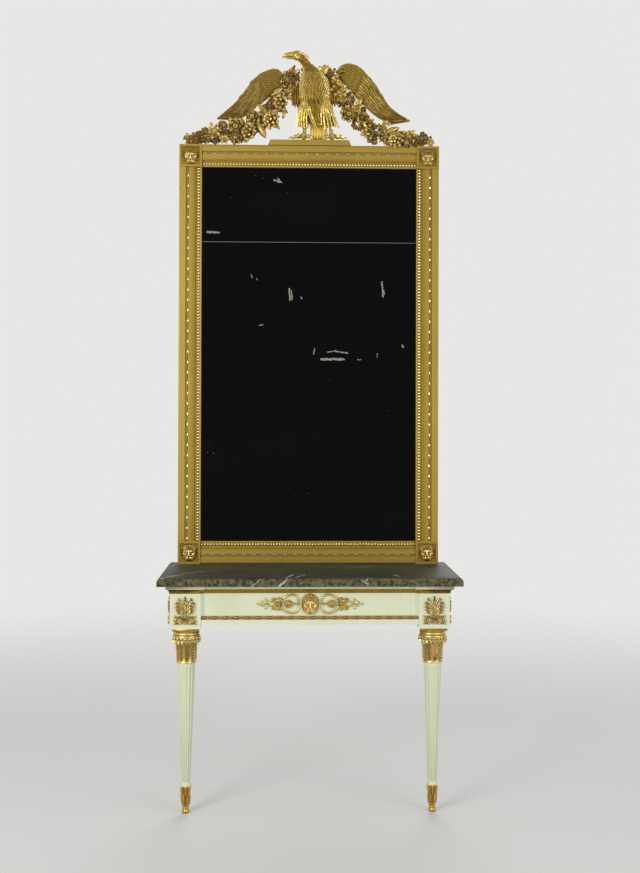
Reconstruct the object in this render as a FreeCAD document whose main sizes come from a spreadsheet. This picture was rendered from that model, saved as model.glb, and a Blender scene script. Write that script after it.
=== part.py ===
"""Pier table with its pier mirror, in millimetres.

A console table with a marble slab on a panelled frieze and two tapered fluted front legs, held to
the wall at the back, and the giltwood mirror that stands on the slab, crested by an eagle between two
flower garlands. +X is to the right, +Y points to the wall and +Z is up. The origin is on the floor,
under the middle of the slab.
"""
import FreeCAD, Part
import math
import os

import Sketcher

Vector = FreeCAD.Vector
UP = Vector(0, 0, 1)
FORWARD = Vector(0, -1, 0)

doc = FreeCAD.newDocument("PierTable")
sheet = doc.addObject("Spreadsheet::Sheet", "Sizes")
nodes = []

FLUTES = 14
CAPITAL_SIDES = 22
MASK_TUFTS = 14
MASK_SIDES = 8
CORNER_TUFTS = 9
CORNER_SIDES = 6
SABOT_SIDES = 14


# ---------------------------------------------------------------- sizes

class Size:
    """A length of the sheet, or one worked out from several, as a number and as an expression."""

    def __init__(self, value, text):
        self.value = float(value)
        self.text = text

    def __float__(self):
        return self.value

    def __add__(self, other):
        other = as_size(other)
        return Size(self.value + other.value, f"({self.text} + {other.text})")

    def __sub__(self, other):
        other = as_size(other)
        return Size(self.value - other.value, f"({self.text} - {other.text})")

    def __mul__(self, other):
        other = as_size(other)
        return Size(self.value * other.value, f"({self.text} * {other.text})")

    def __truediv__(self, other):
        other = as_size(other)
        return Size(self.value / other.value, f"({self.text} / {other.text})")

    def __neg__(self):
        return Size(-self.value, f"(0 - {self.text})")

    def __radd__(self, other):
        return as_size(other) + self

    def __rsub__(self, other):
        return as_size(other) - self

    def __rmul__(self, other):
        return as_size(other) * self


def as_size(number):
    """A Size as it is, or a plain number made one."""
    if isinstance(number, Size):
        return number
    return Size(number, f"({number})" if number < 0 else f"{number}")


def size(alias, value):
    """Writes one driving dimension to the sheet and returns it."""
    row = size.rows = getattr(size, "rows", 0) + 1
    sheet.set(f"A{row}", alias)
    sheet.set(f"B{row}", str(value))
    sheet.setAlias(f"B{row}", alias)
    return Size(value, f"Sizes.{alias}")


# slab
slab_length = size("slab_length", 1080)
slab_depth = size("slab_depth", 450)
slab_thick = size("slab_thick", 30)
slab_round = size("slab_round", 16)
table_height = size("table_height", 850)
overhang = size("overhang", 43)

# frame of the table
block_size = size("block_size", 110)
block_drop = size("block_drop", 13)
rail_thick = size("rail_thick", 28)
rail_sink = size("rail_sink", 12)
post_width = size("post_width", 60)
post_depth = size("post_depth", 45)
tenon_thick = size("tenon_thick", 9)
tenon_high = size("tenon_high", 70)
tenon_long = size("tenon_long", 30)
fit = size("fit", 0.15)

# mouldings of the table, from the lowest up
band_high = size("band_high", 19)
band_out = size("band_out", 9)
bead_high = size("bead_high", 13)
bead_out = size("bead_out", 6)
frieze_high = size("frieze_high", 80)
cavetto_high = size("cavetto_high", 16)
cavetto_lip = size("cavetto_lip", 1.5)
fillet_high = size("fillet_high", 14)
cornice_out = size("cornice_out", 14)
bevel_width = size("bevel_width", 12.5)

# inner pieces of the table
bearer_width = size("bearer_width", 50)
bearer_high = size("bearer_high", 24)
housing_deep = size("housing_deep", 12)
glue_leg = size("glue_leg", 32)
glue_high = size("glue_high", 88)
screw_reach = size("screw_reach", 300)
screw_drop = size("screw_drop", 50)
screw_hole = size("screw_hole", 7)

# leg, from the floor up
sabot_high = size("sabot_high", 99)
sabot_top_radius = size("sabot_top_radius", 17.4)
sabot_waist_radius = size("sabot_waist_radius", 11.6)
sabot_foot_radius = size("sabot_foot_radius", 12.8)
sabot_foot_high = size("sabot_foot_high", 14)
sabot_bead_high = size("sabot_bead_high", 11)
sabot_bead_swell = size("sabot_bead_swell", 2.6)
sabot_bead_gap = size("sabot_bead_gap", 3)
sabot_hollow = size("sabot_hollow", 1.2)
spigot_radius = size("spigot_radius", 8)
spigot_long = size("spigot_long", 45)
collar_high = size("collar_high", 7)
collar_radius = size("collar_radius", 18.7)
collar_notch = size("collar_notch", 0.7)
shaft_low_radius = size("shaft_low_radius", 17)
shaft_top_radius = size("shaft_top_radius", 32)
flute_deep = size("flute_deep", 2.6)
dowel_radius = size("dowel_radius", 16)
dowel_long = size("dowel_long", 60)

# capital
abacus_size = size("abacus_size", 96)
abacus_high = size("abacus_high", 15)
capital_high = size("capital_high", 128)
capital_groove_radius = size("capital_groove_radius", 44)
capital_fillet_radius = size("capital_fillet_radius", 46.5)
capital_fillet_high = size("capital_fillet_high", 6)
capital_groove_high = size("capital_groove_high", 4)
torus_high = size("torus_high", 32)
torus_swell = size("torus_swell", 9.5)
neck_top_radius = size("neck_top_radius", 38.5)
neck_low_radius = size("neck_low_radius", 34.5)
neck_hollow = size("neck_hollow", 1.8)
neck_step = size("neck_step", 2)
neck_ring_radius = size("neck_ring_radius", 37.5)
neck_ring_high = size("neck_ring_high", 11)

# gilt mounts of the frieze
mount_thick = size("mount_thick", 4)
palmette_high = size("palmette_high", 100)
palmette_width = size("palmette_width", 76)
palmette_base = size("palmette_base", 78)
palmette_lift = size("palmette_lift", 16)
mask_width = size("mask_width", 66)
mask_high = size("mask_high", 72)
mask_deep = size("mask_deep", 16)
mask_lift = size("mask_lift", 2)
scroll_reach = size("scroll_reach", 156)
scroll_high = size("scroll_high", 70)
scroll_stem = size("scroll_stem", 3)

# mirror frame
mirror_width = size("mirror_width", 1000)
mirror_height = size("mirror_height", 1610)
mirror_deep = size("mirror_deep", 59)
member_width = size("member_width", 87)
edge_round = size("edge_round", 4.6)
face_sink = size("face_sink", 4)
outer_flat = size("outer_flat", 25.7)
groove_width = size("groove_width", 12)
groove_deep = size("groove_deep", 6)
broad_band = size("broad_band", 24)
band_sink = size("band_sink", 6)
ridge_width = size("ridge_width", 2)
ridge_sink = size("ridge_sink", 1)
inner_groove = size("inner_groove", 7)
pearl_width = size("pearl_width", 11)
pearl_sink = size("pearl_sink", 12)
sight_lip = size("sight_lip", 2)
sight_ease = size("sight_ease", 1.5)
bead_width = size("bead_width", 7)
rebate_width = size("rebate_width", 10)
rebate_sink = size("rebate_sink", 24)
panel_margin = size("panel_margin", 9)
panel_sink = size("panel_sink", 3)
corner_mask_width = size("corner_mask_width", 60)
corner_mask_high = size("corner_mask_high", 65)
corner_mask_deep = size("corner_mask_deep", 9)
frame_tenon_thick = size("frame_tenon_thick", 10)
frame_tenon_wide = size("frame_tenon_wide", 45)
frame_tenon_long = size("frame_tenon_long", 40)
frame_tenon_edge = size("frame_tenon_edge", 20)
stile_tenon_sink = size("stile_tenon_sink", 19)
rail_tenon_sink = size("rail_tenon_sink", 34)

# glass and back of the mirror
glass_thick = size("glass_thick", 4)
glass_joint = size("glass_joint", 1238)
board_thick = size("board_thick", 10)
batten_thick = size("batten_thick", 12)
batten_high = size("batten_high", 60)
hanger_width = size("hanger_width", 36)
hanger_high = size("hanger_high", 92)
hanger_thick = size("hanger_thick", 3)
hanger_eye = size("hanger_eye", 6)

# crest
plinth_width = size("plinth_width", 320)
plinth_high = size("plinth_high", 21)
plinth_cant = size("plinth_cant", 8)
plinth_deep = size("plinth_deep", 47)
eagle_high = size("eagle_high", 342)
eagle_wide = size("eagle_wide", 127)
eagle_deep = size("eagle_deep", 84)
wing_thick = size("wing_thick", 9)
wing_back_gap = size("wing_back_gap", 14)
left_wing_root = size("left_wing_root", 105)
left_wing_low = size("left_wing_low", 74)
left_wing_span = size("left_wing_span", 254)
left_wing_rise = size("left_wing_rise", 194)
right_wing_root = size("right_wing_root", 110)
right_wing_low = size("right_wing_low", 66)
right_wing_span = size("right_wing_span", 281)
right_wing_rise = size("right_wing_rise", 229)
shank_radius = size("shank_radius", 8)
shank_long = size("shank_long", 42)
garland_thick = size("garland_thick", 30)
garland_reach = size("garland_reach", 462)
garland_rise = size("garland_rise", 288)
garland_girth = size("garland_girth", 50)

# levels and lines that follow from the sizes
slab_under = table_height - slab_thick
cavetto_top = slab_under - fillet_high
frieze_top = cavetto_top - cavetto_high
bead_top = frieze_top - frieze_high
band_top = bead_top - bead_high
rail_low = band_top - band_high
block_low = rail_low - block_drop
capital_top = block_low
shaft_top = capital_top - capital_high
collar_top = sabot_high + collar_high

wall = slab_depth / 2
block_front = -(slab_depth / 2) + overhang
block_rear = block_front + block_size
block_outer = slab_length / 2 - overhang
block_inner = block_outer - block_size
side_face = block_outer - rail_sink
frieze_face = block_front + rail_sink
post_front = wall - post_depth
leg_x = block_outer - block_size / 2
leg_y = block_front + block_size / 2

mirror_front = wall - mirror_deep
mirror_low = table_height
mirror_top = mirror_low + mirror_height
mirror_middle = mirror_low + mirror_height / 2
sight_half = mirror_width / 2 - member_width
plinth_top = mirror_top + plinth_high


# ---------------------------------------------------------------- ways of making pieces

def keep(piece, name):
    """Names a finished sub-part and puts it on the list of pieces."""
    piece.Label = name
    nodes.append(piece)
    return piece


def bind(piece, **sizes):
    """Binds properties of an object to the sheet."""
    for name, value in sizes.items():
        piece.setExpression(name, as_size(value).text)
    return piece


def place(piece, x=0, y=0, z=0):
    """Binds an object's place to the sheet."""
    for axis, value in zip("xyz", (x, y, z)):
        piece.setExpression(f"Placement.Base.{axis}", as_size(value).text)
    return piece


def box(name, wide, deep, high, x, y, z):
    """A board, plate or block with square edges."""
    board = doc.addObject("Part::Box", name)
    bind(board, Length=wide, Width=deep, Height=high)
    return place(board, x, y, z)


def mirrored(name, source, normal, base_z=0):
    """The other hand of a piece."""
    other = doc.addObject("Part::Mirroring", name)
    other.Source = source
    other.Normal = normal
    other.setExpression("Base.z", as_size(base_z).text)
    return other


def grouped(name, pieces):
    """Several like pieces as one group of separate solids."""
    group = doc.addObject("Part::Compound", name)
    group.Links = pieces
    return keep(group, name)


def shaped(name, shape, x=0, y=0, z=0, turn=0):
    """A carved or cast piece whose form is made from the sheet's sizes, turned about the vertical
    and set in its place."""
    piece = doc.addObject("Part::Feature", name)
    piece.Shape = shape
    piece.Placement = FreeCAD.Placement(
        Vector(float(x), float(y), float(z)), FreeCAD.Rotation(UP, turn))
    return piece


def new_body(name):
    return doc.addObject("PartDesign::Body", name)


def origin_item(body, role):
    """The plane or axis of a body's own origin that has this role."""
    return next(item for item in body.Origin.OriginFeatures if item.Role == role)


def sketch_on(body, role, lift=0):
    """An empty sketch on one of the body's origin planes, lifted along the plane's normal."""
    drawing = body.newObject("Sketcher::SketchObject", f"{body.Name}_sketch")
    drawing.AttachmentSupport = [(origin_item(body, role), "")]
    drawing.MapMode = "FlatFace"
    drawing.setExpression("AttachmentOffset.Base.z", as_size(lift).text)
    return drawing


def held_at(edge, end, x, y):
    """Constraints that hold the end of an edge at a place measured from the sketch's origin, each
    with the expression that drives it."""
    held = []
    for kind, axis, distance in (("DistanceX", -2, as_size(x)), ("DistanceY", -1, as_size(y))):
        if distance.value == 0:
            held.append((Sketcher.Constraint("PointOnObject", edge, end, axis), None))
        else:
            held.append((Sketcher.Constraint(kind, -1, 1, edge, end, distance.value), distance))
    return held


def hold(drawing, held):
    """Adds constraints to a sketch and binds their values to the sheet."""
    first = drawing.ConstraintCount
    drawing.addConstraint([constraint for constraint, _ in held])
    for number, (_, driver) in enumerate(held, first):
        if driver is not None:
            drawing.setExpression(f"Constraints[{number}]", driver.text)


def outline(drawing, corners):
    """A closed outline. A corner is (x, y), or (x, y, radius) where an arc starts at it: with a
    positive radius the arc swells to the left of its way, with a negative one to the right."""
    spots = [Vector(float(corner[0]), float(corner[1]), 0) for corner in corners]
    ends = []
    held = []
    for number, corner in enumerate(corners):
        first, last = spots[number], spots[(number + 1) % len(spots)]
        if len(corner) == 2:
            edge = drawing.addGeometry(Part.LineSegment(first, last))
            ends.append((edge, 1, 2))
            continue
        radius = as_size(corner[2])
        chord = last - first
        rise = abs(radius.value) - math.sqrt(radius.value ** 2 - chord.Length ** 2 / 4)
        left = Vector(-chord.y, chord.x, 0).normalize()
        middle = (first + last) / 2 + left * math.copysign(rise, radius.value)
        clockwise = radius.value > 0
        if clockwise:
            first, last = last, first
        edge = drawing.addGeometry(Part.Arc(first, middle, last))
        ends.append((edge, 2, 1) if clockwise else (edge, 1, 2))
        length = radius if clockwise else -radius
        held.append((Sketcher.Constraint("Radius", edge, length.value), length))
    for number, (edge, start, _) in enumerate(ends):
        before, _, finish = ends[number - 1]
        held.append((Sketcher.Constraint("Coincident", before, finish, edge, start), None))
        held += held_at(edge, start, corners[number][0], corners[number][1])
    hold(drawing, held)
    return drawing


def rectangle(drawing, left, low, wide, high):
    right, top = left + wide, low + high
    return outline(drawing, [(left, low), (right, low), (right, top), (left, top)])


def circle(drawing, x, y, radius):
    centre = Vector(float(x), float(y), 0)
    edge = drawing.addGeometry(Part.Circle(centre, UP, float(radius)))
    size_held = (Sketcher.Constraint("Radius", edge, float(radius)), as_size(radius))
    hold(drawing, held_at(edge, 3, x, y) + [size_held])
    return drawing


def pad(body, drawing, length, backwards=False):
    feature = body.newObject("PartDesign::Pad", f"{body.Name}_pad")
    feature.Profile = drawing
    feature.Reversed = backwards
    drawing.Visibility = False
    return bind(feature, Length=length)


def pocket(body, drawing, depth, backwards=False):
    """Cuts a pocket, and makes sure that it did cut."""
    doc.recompute()
    before = body.Shape.Volume
    feature = body.newObject("PartDesign::Pocket", f"{body.Name}_pocket")
    feature.Profile = drawing
    feature.Reversed = backwards
    bind(feature, Length=depth)
    doc.recompute()
    if body.Shape.Volume > before - 1:
        raise ValueError(f"a pocket of {body.Name} cuts nothing")
    return feature


def turned(body, corners):
    """A piece turned on a lathe, from (radius, height) corners."""
    drawing = outline(sketch_on(body, "XZ_Plane"), corners)
    feature = body.newObject("PartDesign::Revolution", f"{body.Name}_turning")
    feature.Profile = drawing
    feature.ReferenceAxis = (drawing, ["V_Axis"])
    feature.Angle = 360
    return feature


def swelled(first, last, swell, steps):
    """Corners of a turned moulding from one (radius, height) to the next, swelling outwards between
    them, or hollow where the swell is negative. The last corner is left to the next moulding."""
    corners = []
    for step in range(steps):
        share = step / steps
        corners.append((
            first[0] + (last[0] - first[0]) * share + swell * round(math.sin(math.pi * share), 6),
            first[1] + (last[1] - first[1]) * share,
        ))
    return corners


def faceted(rings):
    """A carved form with flat facets between rings of points, closed by its first and last ring."""
    faces = [Part.Face(Part.makePolygon(ring + ring[:1])) for ring in (rings[0], rings[-1])]
    for first, second in zip(rings, rings[1:]):
        for number in range(len(first)):
            after = (number + 1) % len(first)
            near, far = first[number], second[after]
            faces.append(Part.Face(Part.makePolygon([near, first[after], far, near])))
            faces.append(Part.Face(Part.makePolygon([near, far, second[number], near])))
    shell = Part.makeShell(faces)
    shell.sewShape()
    solid = Part.makeSolid(shell)
    if solid.Volume < 0:
        solid.reverse()
    return solid


def oval(x, y, z, half_wide, half_deep, sides=10):
    """A level oval section of a carved body."""
    ring = []
    for number in range(sides):
        way = 2 * math.pi * (number + 0.5) / sides
        ring.append(Vector(x + half_wide * math.cos(way), y + half_deep * math.sin(way), z))
    return ring


def joined(pieces):
    """One casting out of its overlapping forms."""
    return pieces[0].multiFuse(pieces[1:]).removeSplitter()


def carved_round(profile, sides, bore, bore_low, bore_top):
    """A piece turned from (radius, height) corners and carved into facets, with a bore up its axis."""
    rings = [oval(0, 0, float(height), float(radius), float(radius), sides) for radius, height in profile]
    hole = Part.makeCylinder(float(bore), float(bore_top - bore_low), UP * float(bore_low))
    return faceted(rings), hole


# ---------------------------------------------------------------- marble slab

def make_slab():
    """One slab, square at the wall and rounded over along its top edge on the other sides."""
    body = new_body("marble_slab")
    half = slab_length / 2
    drawing = sketch_on(body, "XY_Plane", slab_under)
    outline(drawing, [(-half, -wall), (half, -wall), (half, wall), (-half, wall)])
    slab = pad(body, drawing, slab_thick)
    doc.recompute()
    shown = []
    for number, edge in enumerate(slab.Shape.Edges, 1):
        centre = edge.CenterOfMass
        on_top = abs(centre.z - float(table_height)) < 0.01
        at_wall = abs(centre.y - float(wall)) < 0.01
        if on_top and not at_wall:
            shown.append(f"Edge{number}")
    rounding = body.newObject("PartDesign::Fillet", "slab_rounding")
    rounding.Base = (slab, shown)
    bind(rounding, Radius=slab_round)
    keep(body, "marble_slab")


# ---------------------------------------------------------------- frame of the table

def make_corner_block():
    """A front corner block, with mortises for two rails and a bore for the leg's dowel."""
    body = new_body("corner_block_right_body")
    pad(body, rectangle(sketch_on(body, "XY_Plane"), 0, 0, block_size, block_size),
        slab_under - block_low)
    bore = circle(sketch_on(body, "XY_Plane"), block_size / 2, block_size / 2, dowel_radius + fit)
    pocket(body, bore, dowel_long + fit, backwards=True)
    tenon_low = rail_low - block_low + (slab_under - rail_low - tenon_high) / 2 - fit
    inset = (rail_thick - tenon_thick) / 2 - fit
    front = rectangle(sketch_on(body, "YZ_Plane"), rail_sink + inset, tenon_low,
                      tenon_thick + fit * 2, tenon_high + fit * 2)
    pocket(body, front, tenon_long + fit, backwards=True)
    side = rectangle(sketch_on(body, "XZ_Plane", -block_size),
                     block_size - rail_sink - rail_thick + inset, tenon_low,
                     tenon_thick + fit * 2, tenon_high + fit * 2)
    pocket(body, side, tenon_long + fit, backwards=True)
    place(body, block_inner, block_front, block_low)
    keep(body, "corner_block_right")
    keep(mirrored("corner_block_left", body, Vector(1, 0, 0)), "corner_block_left")


def make_rear_post():
    """A rear post at the wall, with a mortise for the side rail and one for the back rail."""
    body = new_body("rear_post_right_body")
    pad(body, rectangle(sketch_on(body, "XY_Plane"), 0, 0, post_width, post_depth),
        slab_under - rail_low)
    tenon_low = (slab_under - rail_low - tenon_high) / 2 - fit
    inset = (rail_thick - tenon_thick) / 2 - fit
    side = rectangle(sketch_on(body, "XZ_Plane"), post_width - rail_thick + inset, tenon_low,
                     tenon_thick + fit * 2, tenon_high + fit * 2)
    pocket(body, side, tenon_long / 2 + fit)
    back = rectangle(sketch_on(body, "YZ_Plane"), post_depth - rail_thick + inset, tenon_low,
                     tenon_thick + fit * 2, tenon_high + fit * 2)
    pocket(body, back, tenon_long + fit, backwards=True)
    place(body, side_face - post_width, post_front, rail_low)
    keep(body, "rear_post_right")
    keep(mirrored("rear_post_left", body, Vector(1, 0, 0)), "rear_post_left")


def add_rail_core(body, plane, length, before, after):
    """The board of a rail with one long tenon core that stands out at both ends."""
    high = slab_under - rail_low
    pad(body, rectangle(sketch_on(body, plane), 0, 0, rail_thick, high), length)
    inset = (rail_thick - tenon_thick) / 2
    core = rectangle(sketch_on(body, plane, -before), inset, (high - tenon_high) / 2,
                     tenon_thick, tenon_high)
    pad(body, core, length + before + after)


def housing(body, lift, middle, backwards=False):
    """The notch at the middle of a rail that takes the end of the centre bearer."""
    low = slab_under - rail_low - bearer_high
    notch = rectangle(sketch_on(body, "XZ_Plane", lift), middle - bearer_width / 2 - fit, low,
                      bearer_width + fit * 2, bearer_high)
    pocket(body, notch, housing_deep + fit, backwards)


def make_rails():
    """Front, back and side rails, tenoned into the blocks and posts."""
    front = new_body("front_rail_body")
    add_rail_core(front, "YZ_Plane", block_inner * 2, tenon_long, tenon_long)
    housing(front, -rail_thick, block_inner, backwards=True)
    place(front, -block_inner, frieze_face, rail_low)
    keep(front, "front_rail")

    back = new_body("back_rail_body")
    reach = side_face - post_width
    add_rail_core(back, "YZ_Plane", reach * 2, tenon_long, tenon_long)
    housing(back, 0, reach)
    for side in (-1, 1):
        spot = reach + screw_reach * side
        height = slab_under - rail_low - screw_drop
        pocket(back, circle(sketch_on(back, "XZ_Plane"), spot, height, screw_hole / 2), rail_thick)
    place(back, -reach, wall - rail_thick, rail_low)
    keep(back, "back_rail")

    right = new_body("right_rail_body")
    length = post_front - block_rear
    add_rail_core(right, "XZ_Plane", length, tenon_long / 2, tenon_long)
    place(right, side_face - rail_thick, post_front, rail_low)
    keep(right, "right_rail")
    keep(mirrored("left_rail", right, Vector(1, 0, 0)), "left_rail")


def make_inner_timbers():
    """The bearer under the middle of the slab, and glue blocks in the four corners."""
    bearer_front = frieze_face + rail_thick - housing_deep
    bearer_rear = wall - rail_thick + housing_deep
    keep(box("centre_bearer", bearer_width, bearer_rear - bearer_front, bearer_high - fit,
             -bearer_width / 2, bearer_front, slab_under - bearer_high + fit), "centre_bearer")

    blocks = []
    corners = (
        ("front_glue", block_inner, frieze_face + rail_thick, 1),
        ("rear_glue", side_face - post_width, wall - rail_thick, -1),
    )
    for name, x, y, turn in corners:
        body = new_body(f"{name}_body")
        ends = [(0, 0), (0, glue_leg * turn), (-glue_leg, 0)]
        if turn < 0:
            ends.reverse()
        pad(body, outline(sketch_on(body, "XY_Plane"), ends), glue_high)
        place(body, x, y, slab_under - glue_high)
        blocks += [body, mirrored(f"{name}_left", body, Vector(1, 0, 0))]
    grouped("glue_blocks", blocks)


# ---------------------------------------------------------------- mouldings of the table

def make_band_and_beads():
    """The white lower band and the gilt bead strip above it, on the front and both sides."""
    side_length = wall - block_rear
    bands = [
        box("band_front", block_inner * 2, band_out, band_high,
            -block_inner, frieze_face - band_out, rail_low),
        box("band_right", band_out, side_length, band_high, side_face, block_rear, rail_low),
        box("band_left", band_out, side_length, band_high, -side_face - band_out, block_rear, rail_low),
    ]
    grouped("lower_bands", bands)

    swell = (bead_high * bead_high / 4 + bead_out * bead_out) / (bead_out * 2)
    front = new_body("bead_front_body")
    drawing = outline(sketch_on(front, "YZ_Plane"), [(0, 0, swell), (0, bead_high)])
    pad(front, drawing, block_inner * 2)
    place(front, -block_inner, frieze_face, band_top)
    right = new_body("bead_right_body")
    drawing = outline(sketch_on(right, "XZ_Plane"), [(0, 0), (0, bead_high, swell)])
    pad(right, drawing, side_length)
    place(right, side_face, wall, band_top)
    grouped("frieze_bead_strips", [front, right, mirrored("bead_left", right, Vector(1, 0, 0))])


def make_frieze_bevels():
    """The sloping ends of the sunk front panel, against the corner blocks."""
    body = new_body("frieze_bevel_body")
    drawing = outline(sketch_on(body, "XY_Plane"), [(0, 0), (-bevel_width, 0), (0, -rail_sink)])
    pad(body, drawing, frieze_high)
    place(body, block_inner, frieze_face, bead_top)
    grouped("frieze_bevels", [body, mirrored("frieze_bevel_left", body, Vector(1, 0, 0))])


def cornice_line(out):
    """The line round the frame at cornice level, breaking forward round the corner blocks."""
    rear, front = float(wall), float(block_front)
    sunk, back = float(frieze_face), float(block_rear)
    side, outer, inner = float(side_face), float(block_outer), float(block_inner)
    line = [
        (-side, rear), (-side, back), (-outer, back), (-outer, front), (-inner, front),
        (-inner, sunk), (inner, sunk), (inner, front), (outer, front), (outer, back),
        (side, back), (side, rear),
    ]
    ways = []
    for (x0, y0), (x1, y1) in zip(line, line[1:]):
        length = math.hypot(x1 - x0, y1 - y0)
        ways.append(((y1 - y0) / length, (x0 - x1) / length))
    moved = []
    for number, (x, y) in enumerate(line):
        before = ways[number - 1] if number > 0 else (0, 0)
        after = ways[number] if number < len(ways) else (0, 0)
        moved.append((x + out * (before[0] + after[0]), y + out * (before[1] + after[1])))
    return moved


def cornice_wire(out, height):
    """The cornice's plan at one height: its moulded line, closed along the frame's face."""
    shown = [Vector(x, y, height) for x, y in cornice_line(out)]
    hidden = [Vector(x, y, height) for x, y in reversed(cornice_line(0))]
    return Part.makePolygon(shown + hidden + shown[:1])


def cornice_lengths(solid, low, high):
    """Cuts the cornice at its mitres into a front length and two side lengths."""
    outer, front, rear = float(block_outer), float(block_front), float(wall)
    reach = 4 * float(cornice_out)
    regions = [
        [(-outer - reach, front - reach), (outer + reach, front - reach),
         (outer - reach, front + reach), (-outer + reach, front + reach)],
        [(-outer - reach, front - reach), (-outer + reach, front + reach),
         (-outer + reach, rear + reach), (-outer - reach, rear + reach)],
        [(outer + reach, front - reach), (outer - reach, front + reach),
         (outer - reach, rear + reach), (outer + reach, rear + reach)],
    ]
    lengths = []
    for region in regions:
        corners = [Vector(x, y, low) for x, y in region]
        tool = Part.Face(Part.makePolygon(corners + corners[:1])).extrude(UP * (high - low))
        lengths += solid.common(tool).Solids
    return Part.makeCompound(lengths)


def make_cornice():
    """The gilt cavetto and the white fillet above it, each in three mitred lengths."""
    low, top = float(frieze_top), float(cavetto_top)
    lip, out = float(cavetto_lip), float(cornice_out)
    steps = 4
    wires = []
    for step in range(steps + 1):
        turn = math.pi / 2 * step / steps
        wires.append(cornice_wire(lip + (out - lip) * (1 - math.cos(turn)),
                                  low + (top - low) * math.sin(turn)))
    cavetto = Part.makeLoft(wires, True, True)
    keep(shaped("cornice_cavetto", cornice_lengths(cavetto, low, top)), "cornice_cavetto")
    ceiling = float(slab_under)
    fillet = Part.Face(cornice_wire(out, top)).extrude(UP * (ceiling - top))
    keep(shaped("cornice_fillet", cornice_lengths(fillet, top, ceiling)), "cornice_fillet")


# ---------------------------------------------------------------- legs

def fluted(radius):
    """The shaft's section: narrow lands on the full radius between flutes with flat floors, which
    are deepest at the top of the shaft."""
    deep = flute_deep * radius / shaft_top_radius
    corners = []
    pitch = 2 * math.pi / FLUTES
    for flute in range(FLUTES):
        for share, sunk in ((-0.14, 0), (0.14, 0), (0.32, 1), (0.68, 1)):
            way = pitch * (flute + share)
            reach = radius - deep * sunk
            corners.append((reach * round(math.cos(way), 9), reach * round(math.sin(way), 9)))
    return corners


def scalloped(radius):
    """The collar's section: as many lobes as the shaft has lands, with a shallow notch between them."""
    corners = []
    for number in range(FLUTES * 2):
        way = math.pi * number / FLUTES
        reach = radius - collar_notch * (number % 2)
        corners.append((reach * round(math.cos(way), 9), reach * round(math.sin(way), 9)))
    return corners


def make_leg():
    """The fluted shaft over a scalloped collar, with a dowel up through the capital and a spigot
    down into the sabot."""
    body = new_body("leg_right_body")
    turned(body, [
        (0, sabot_high - spigot_long),
        (spigot_radius, sabot_high - spigot_long),
        (spigot_radius, collar_top),
        (dowel_radius, shaft_top),
        (dowel_radius, capital_top + dowel_long),
        (0, capital_top + dowel_long),
    ])
    pad(body, outline(sketch_on(body, "XY_Plane", sabot_high), scalloped(collar_radius)), collar_high)
    shaft = body.newObject("PartDesign::AdditiveLoft", "fluted_shaft")
    shaft.Profile = outline(sketch_on(body, "XY_Plane", collar_top),
                            fluted(shaft_low_radius))
    shaft.Sections = [outline(sketch_on(body, "XY_Plane", shaft_top),
                              fluted(shaft_top_radius))]
    shaft.Ruled = True
    place(body, leg_x, leg_y, 0)
    keep(body, "leg_right")
    keep(mirrored("leg_left", body, Vector(1, 0, 0)), "leg_left")


def on_each_leg(name, shape):
    """The same piece on the axis of both legs."""
    pair = []
    for hand, word in ((-1, "left"), (1, "right")):
        pair.append(shaped(f"{name}_{word}", shape, leg_x * hand, leg_y))
    grouped(f"{name}s", pair)


def make_capital():
    """The turned and carved capital: a ring, a hollow neck, a torus and a square abacus."""
    neck_low = shaft_top + neck_ring_high
    abacus_low = capital_top - abacus_high
    groove_low = abacus_low - capital_groove_high
    fillet_low = groove_low - capital_fillet_high
    torus_low = fillet_low - torus_high
    bell, bore = carved_round([
        (neck_ring_radius, shaft_top),
        (neck_ring_radius, neck_low - neck_step),
        *swelled((neck_low_radius, neck_low), (neck_top_radius, torus_low - neck_step), -neck_hollow, 2),
        (neck_top_radius, torus_low - neck_step),
        *swelled((capital_groove_radius, torus_low), (capital_fillet_radius, fillet_low),
                 torus_swell, 3),
        (capital_fillet_radius, fillet_low),
        (capital_fillet_radius, groove_low),
        (capital_groove_radius, groove_low),
        (capital_groove_radius, abacus_low),
    ], CAPITAL_SIDES, dowel_radius + fit, shaft_top, capital_top)
    side = float(abacus_size)
    corner = Vector(-side / 2, -side / 2, float(abacus_low))
    abacus = Part.makeBox(side, side, float(abacus_high), corner)
    on_each_leg("capital", joined([bell, abacus]).cut(bore))


def make_sabot():
    """The gilt shoe: a small turned foot, a ring of beads and a leafy sleeve round the leg's end."""
    bead_low = sabot_foot_high + sabot_bead_gap
    bead_end = bead_low + sabot_bead_high
    waist = (sabot_waist_radius, bead_end + sabot_bead_gap)
    shoe, bore = carved_round([
        (sabot_foot_radius - sabot_hollow, as_size(0)),
        (sabot_foot_radius, sabot_foot_high),
        *swelled((sabot_waist_radius, bead_low), (sabot_waist_radius, bead_end), sabot_bead_swell, 2),
        (sabot_waist_radius, bead_end),
        *swelled(waist, (sabot_top_radius, sabot_high), -sabot_hollow, 2),
        (sabot_top_radius, sabot_high),
    ], SABOT_SIDES, spigot_radius + fit, sabot_high - spigot_long - fit, sabot_high)
    on_each_leg("sabot", shoe.cut(bore))


# ---------------------------------------------------------------- gilt mounts

def slice_up(corners, thick):
    """A flat cast form: an outline in the XZ plane, thickened towards the front."""
    spots = [Vector(x, 0, z) for x, z in corners]
    return Part.Face(Part.makePolygon(spots + spots[:1])).extrude(FORWARD * thick)


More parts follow.
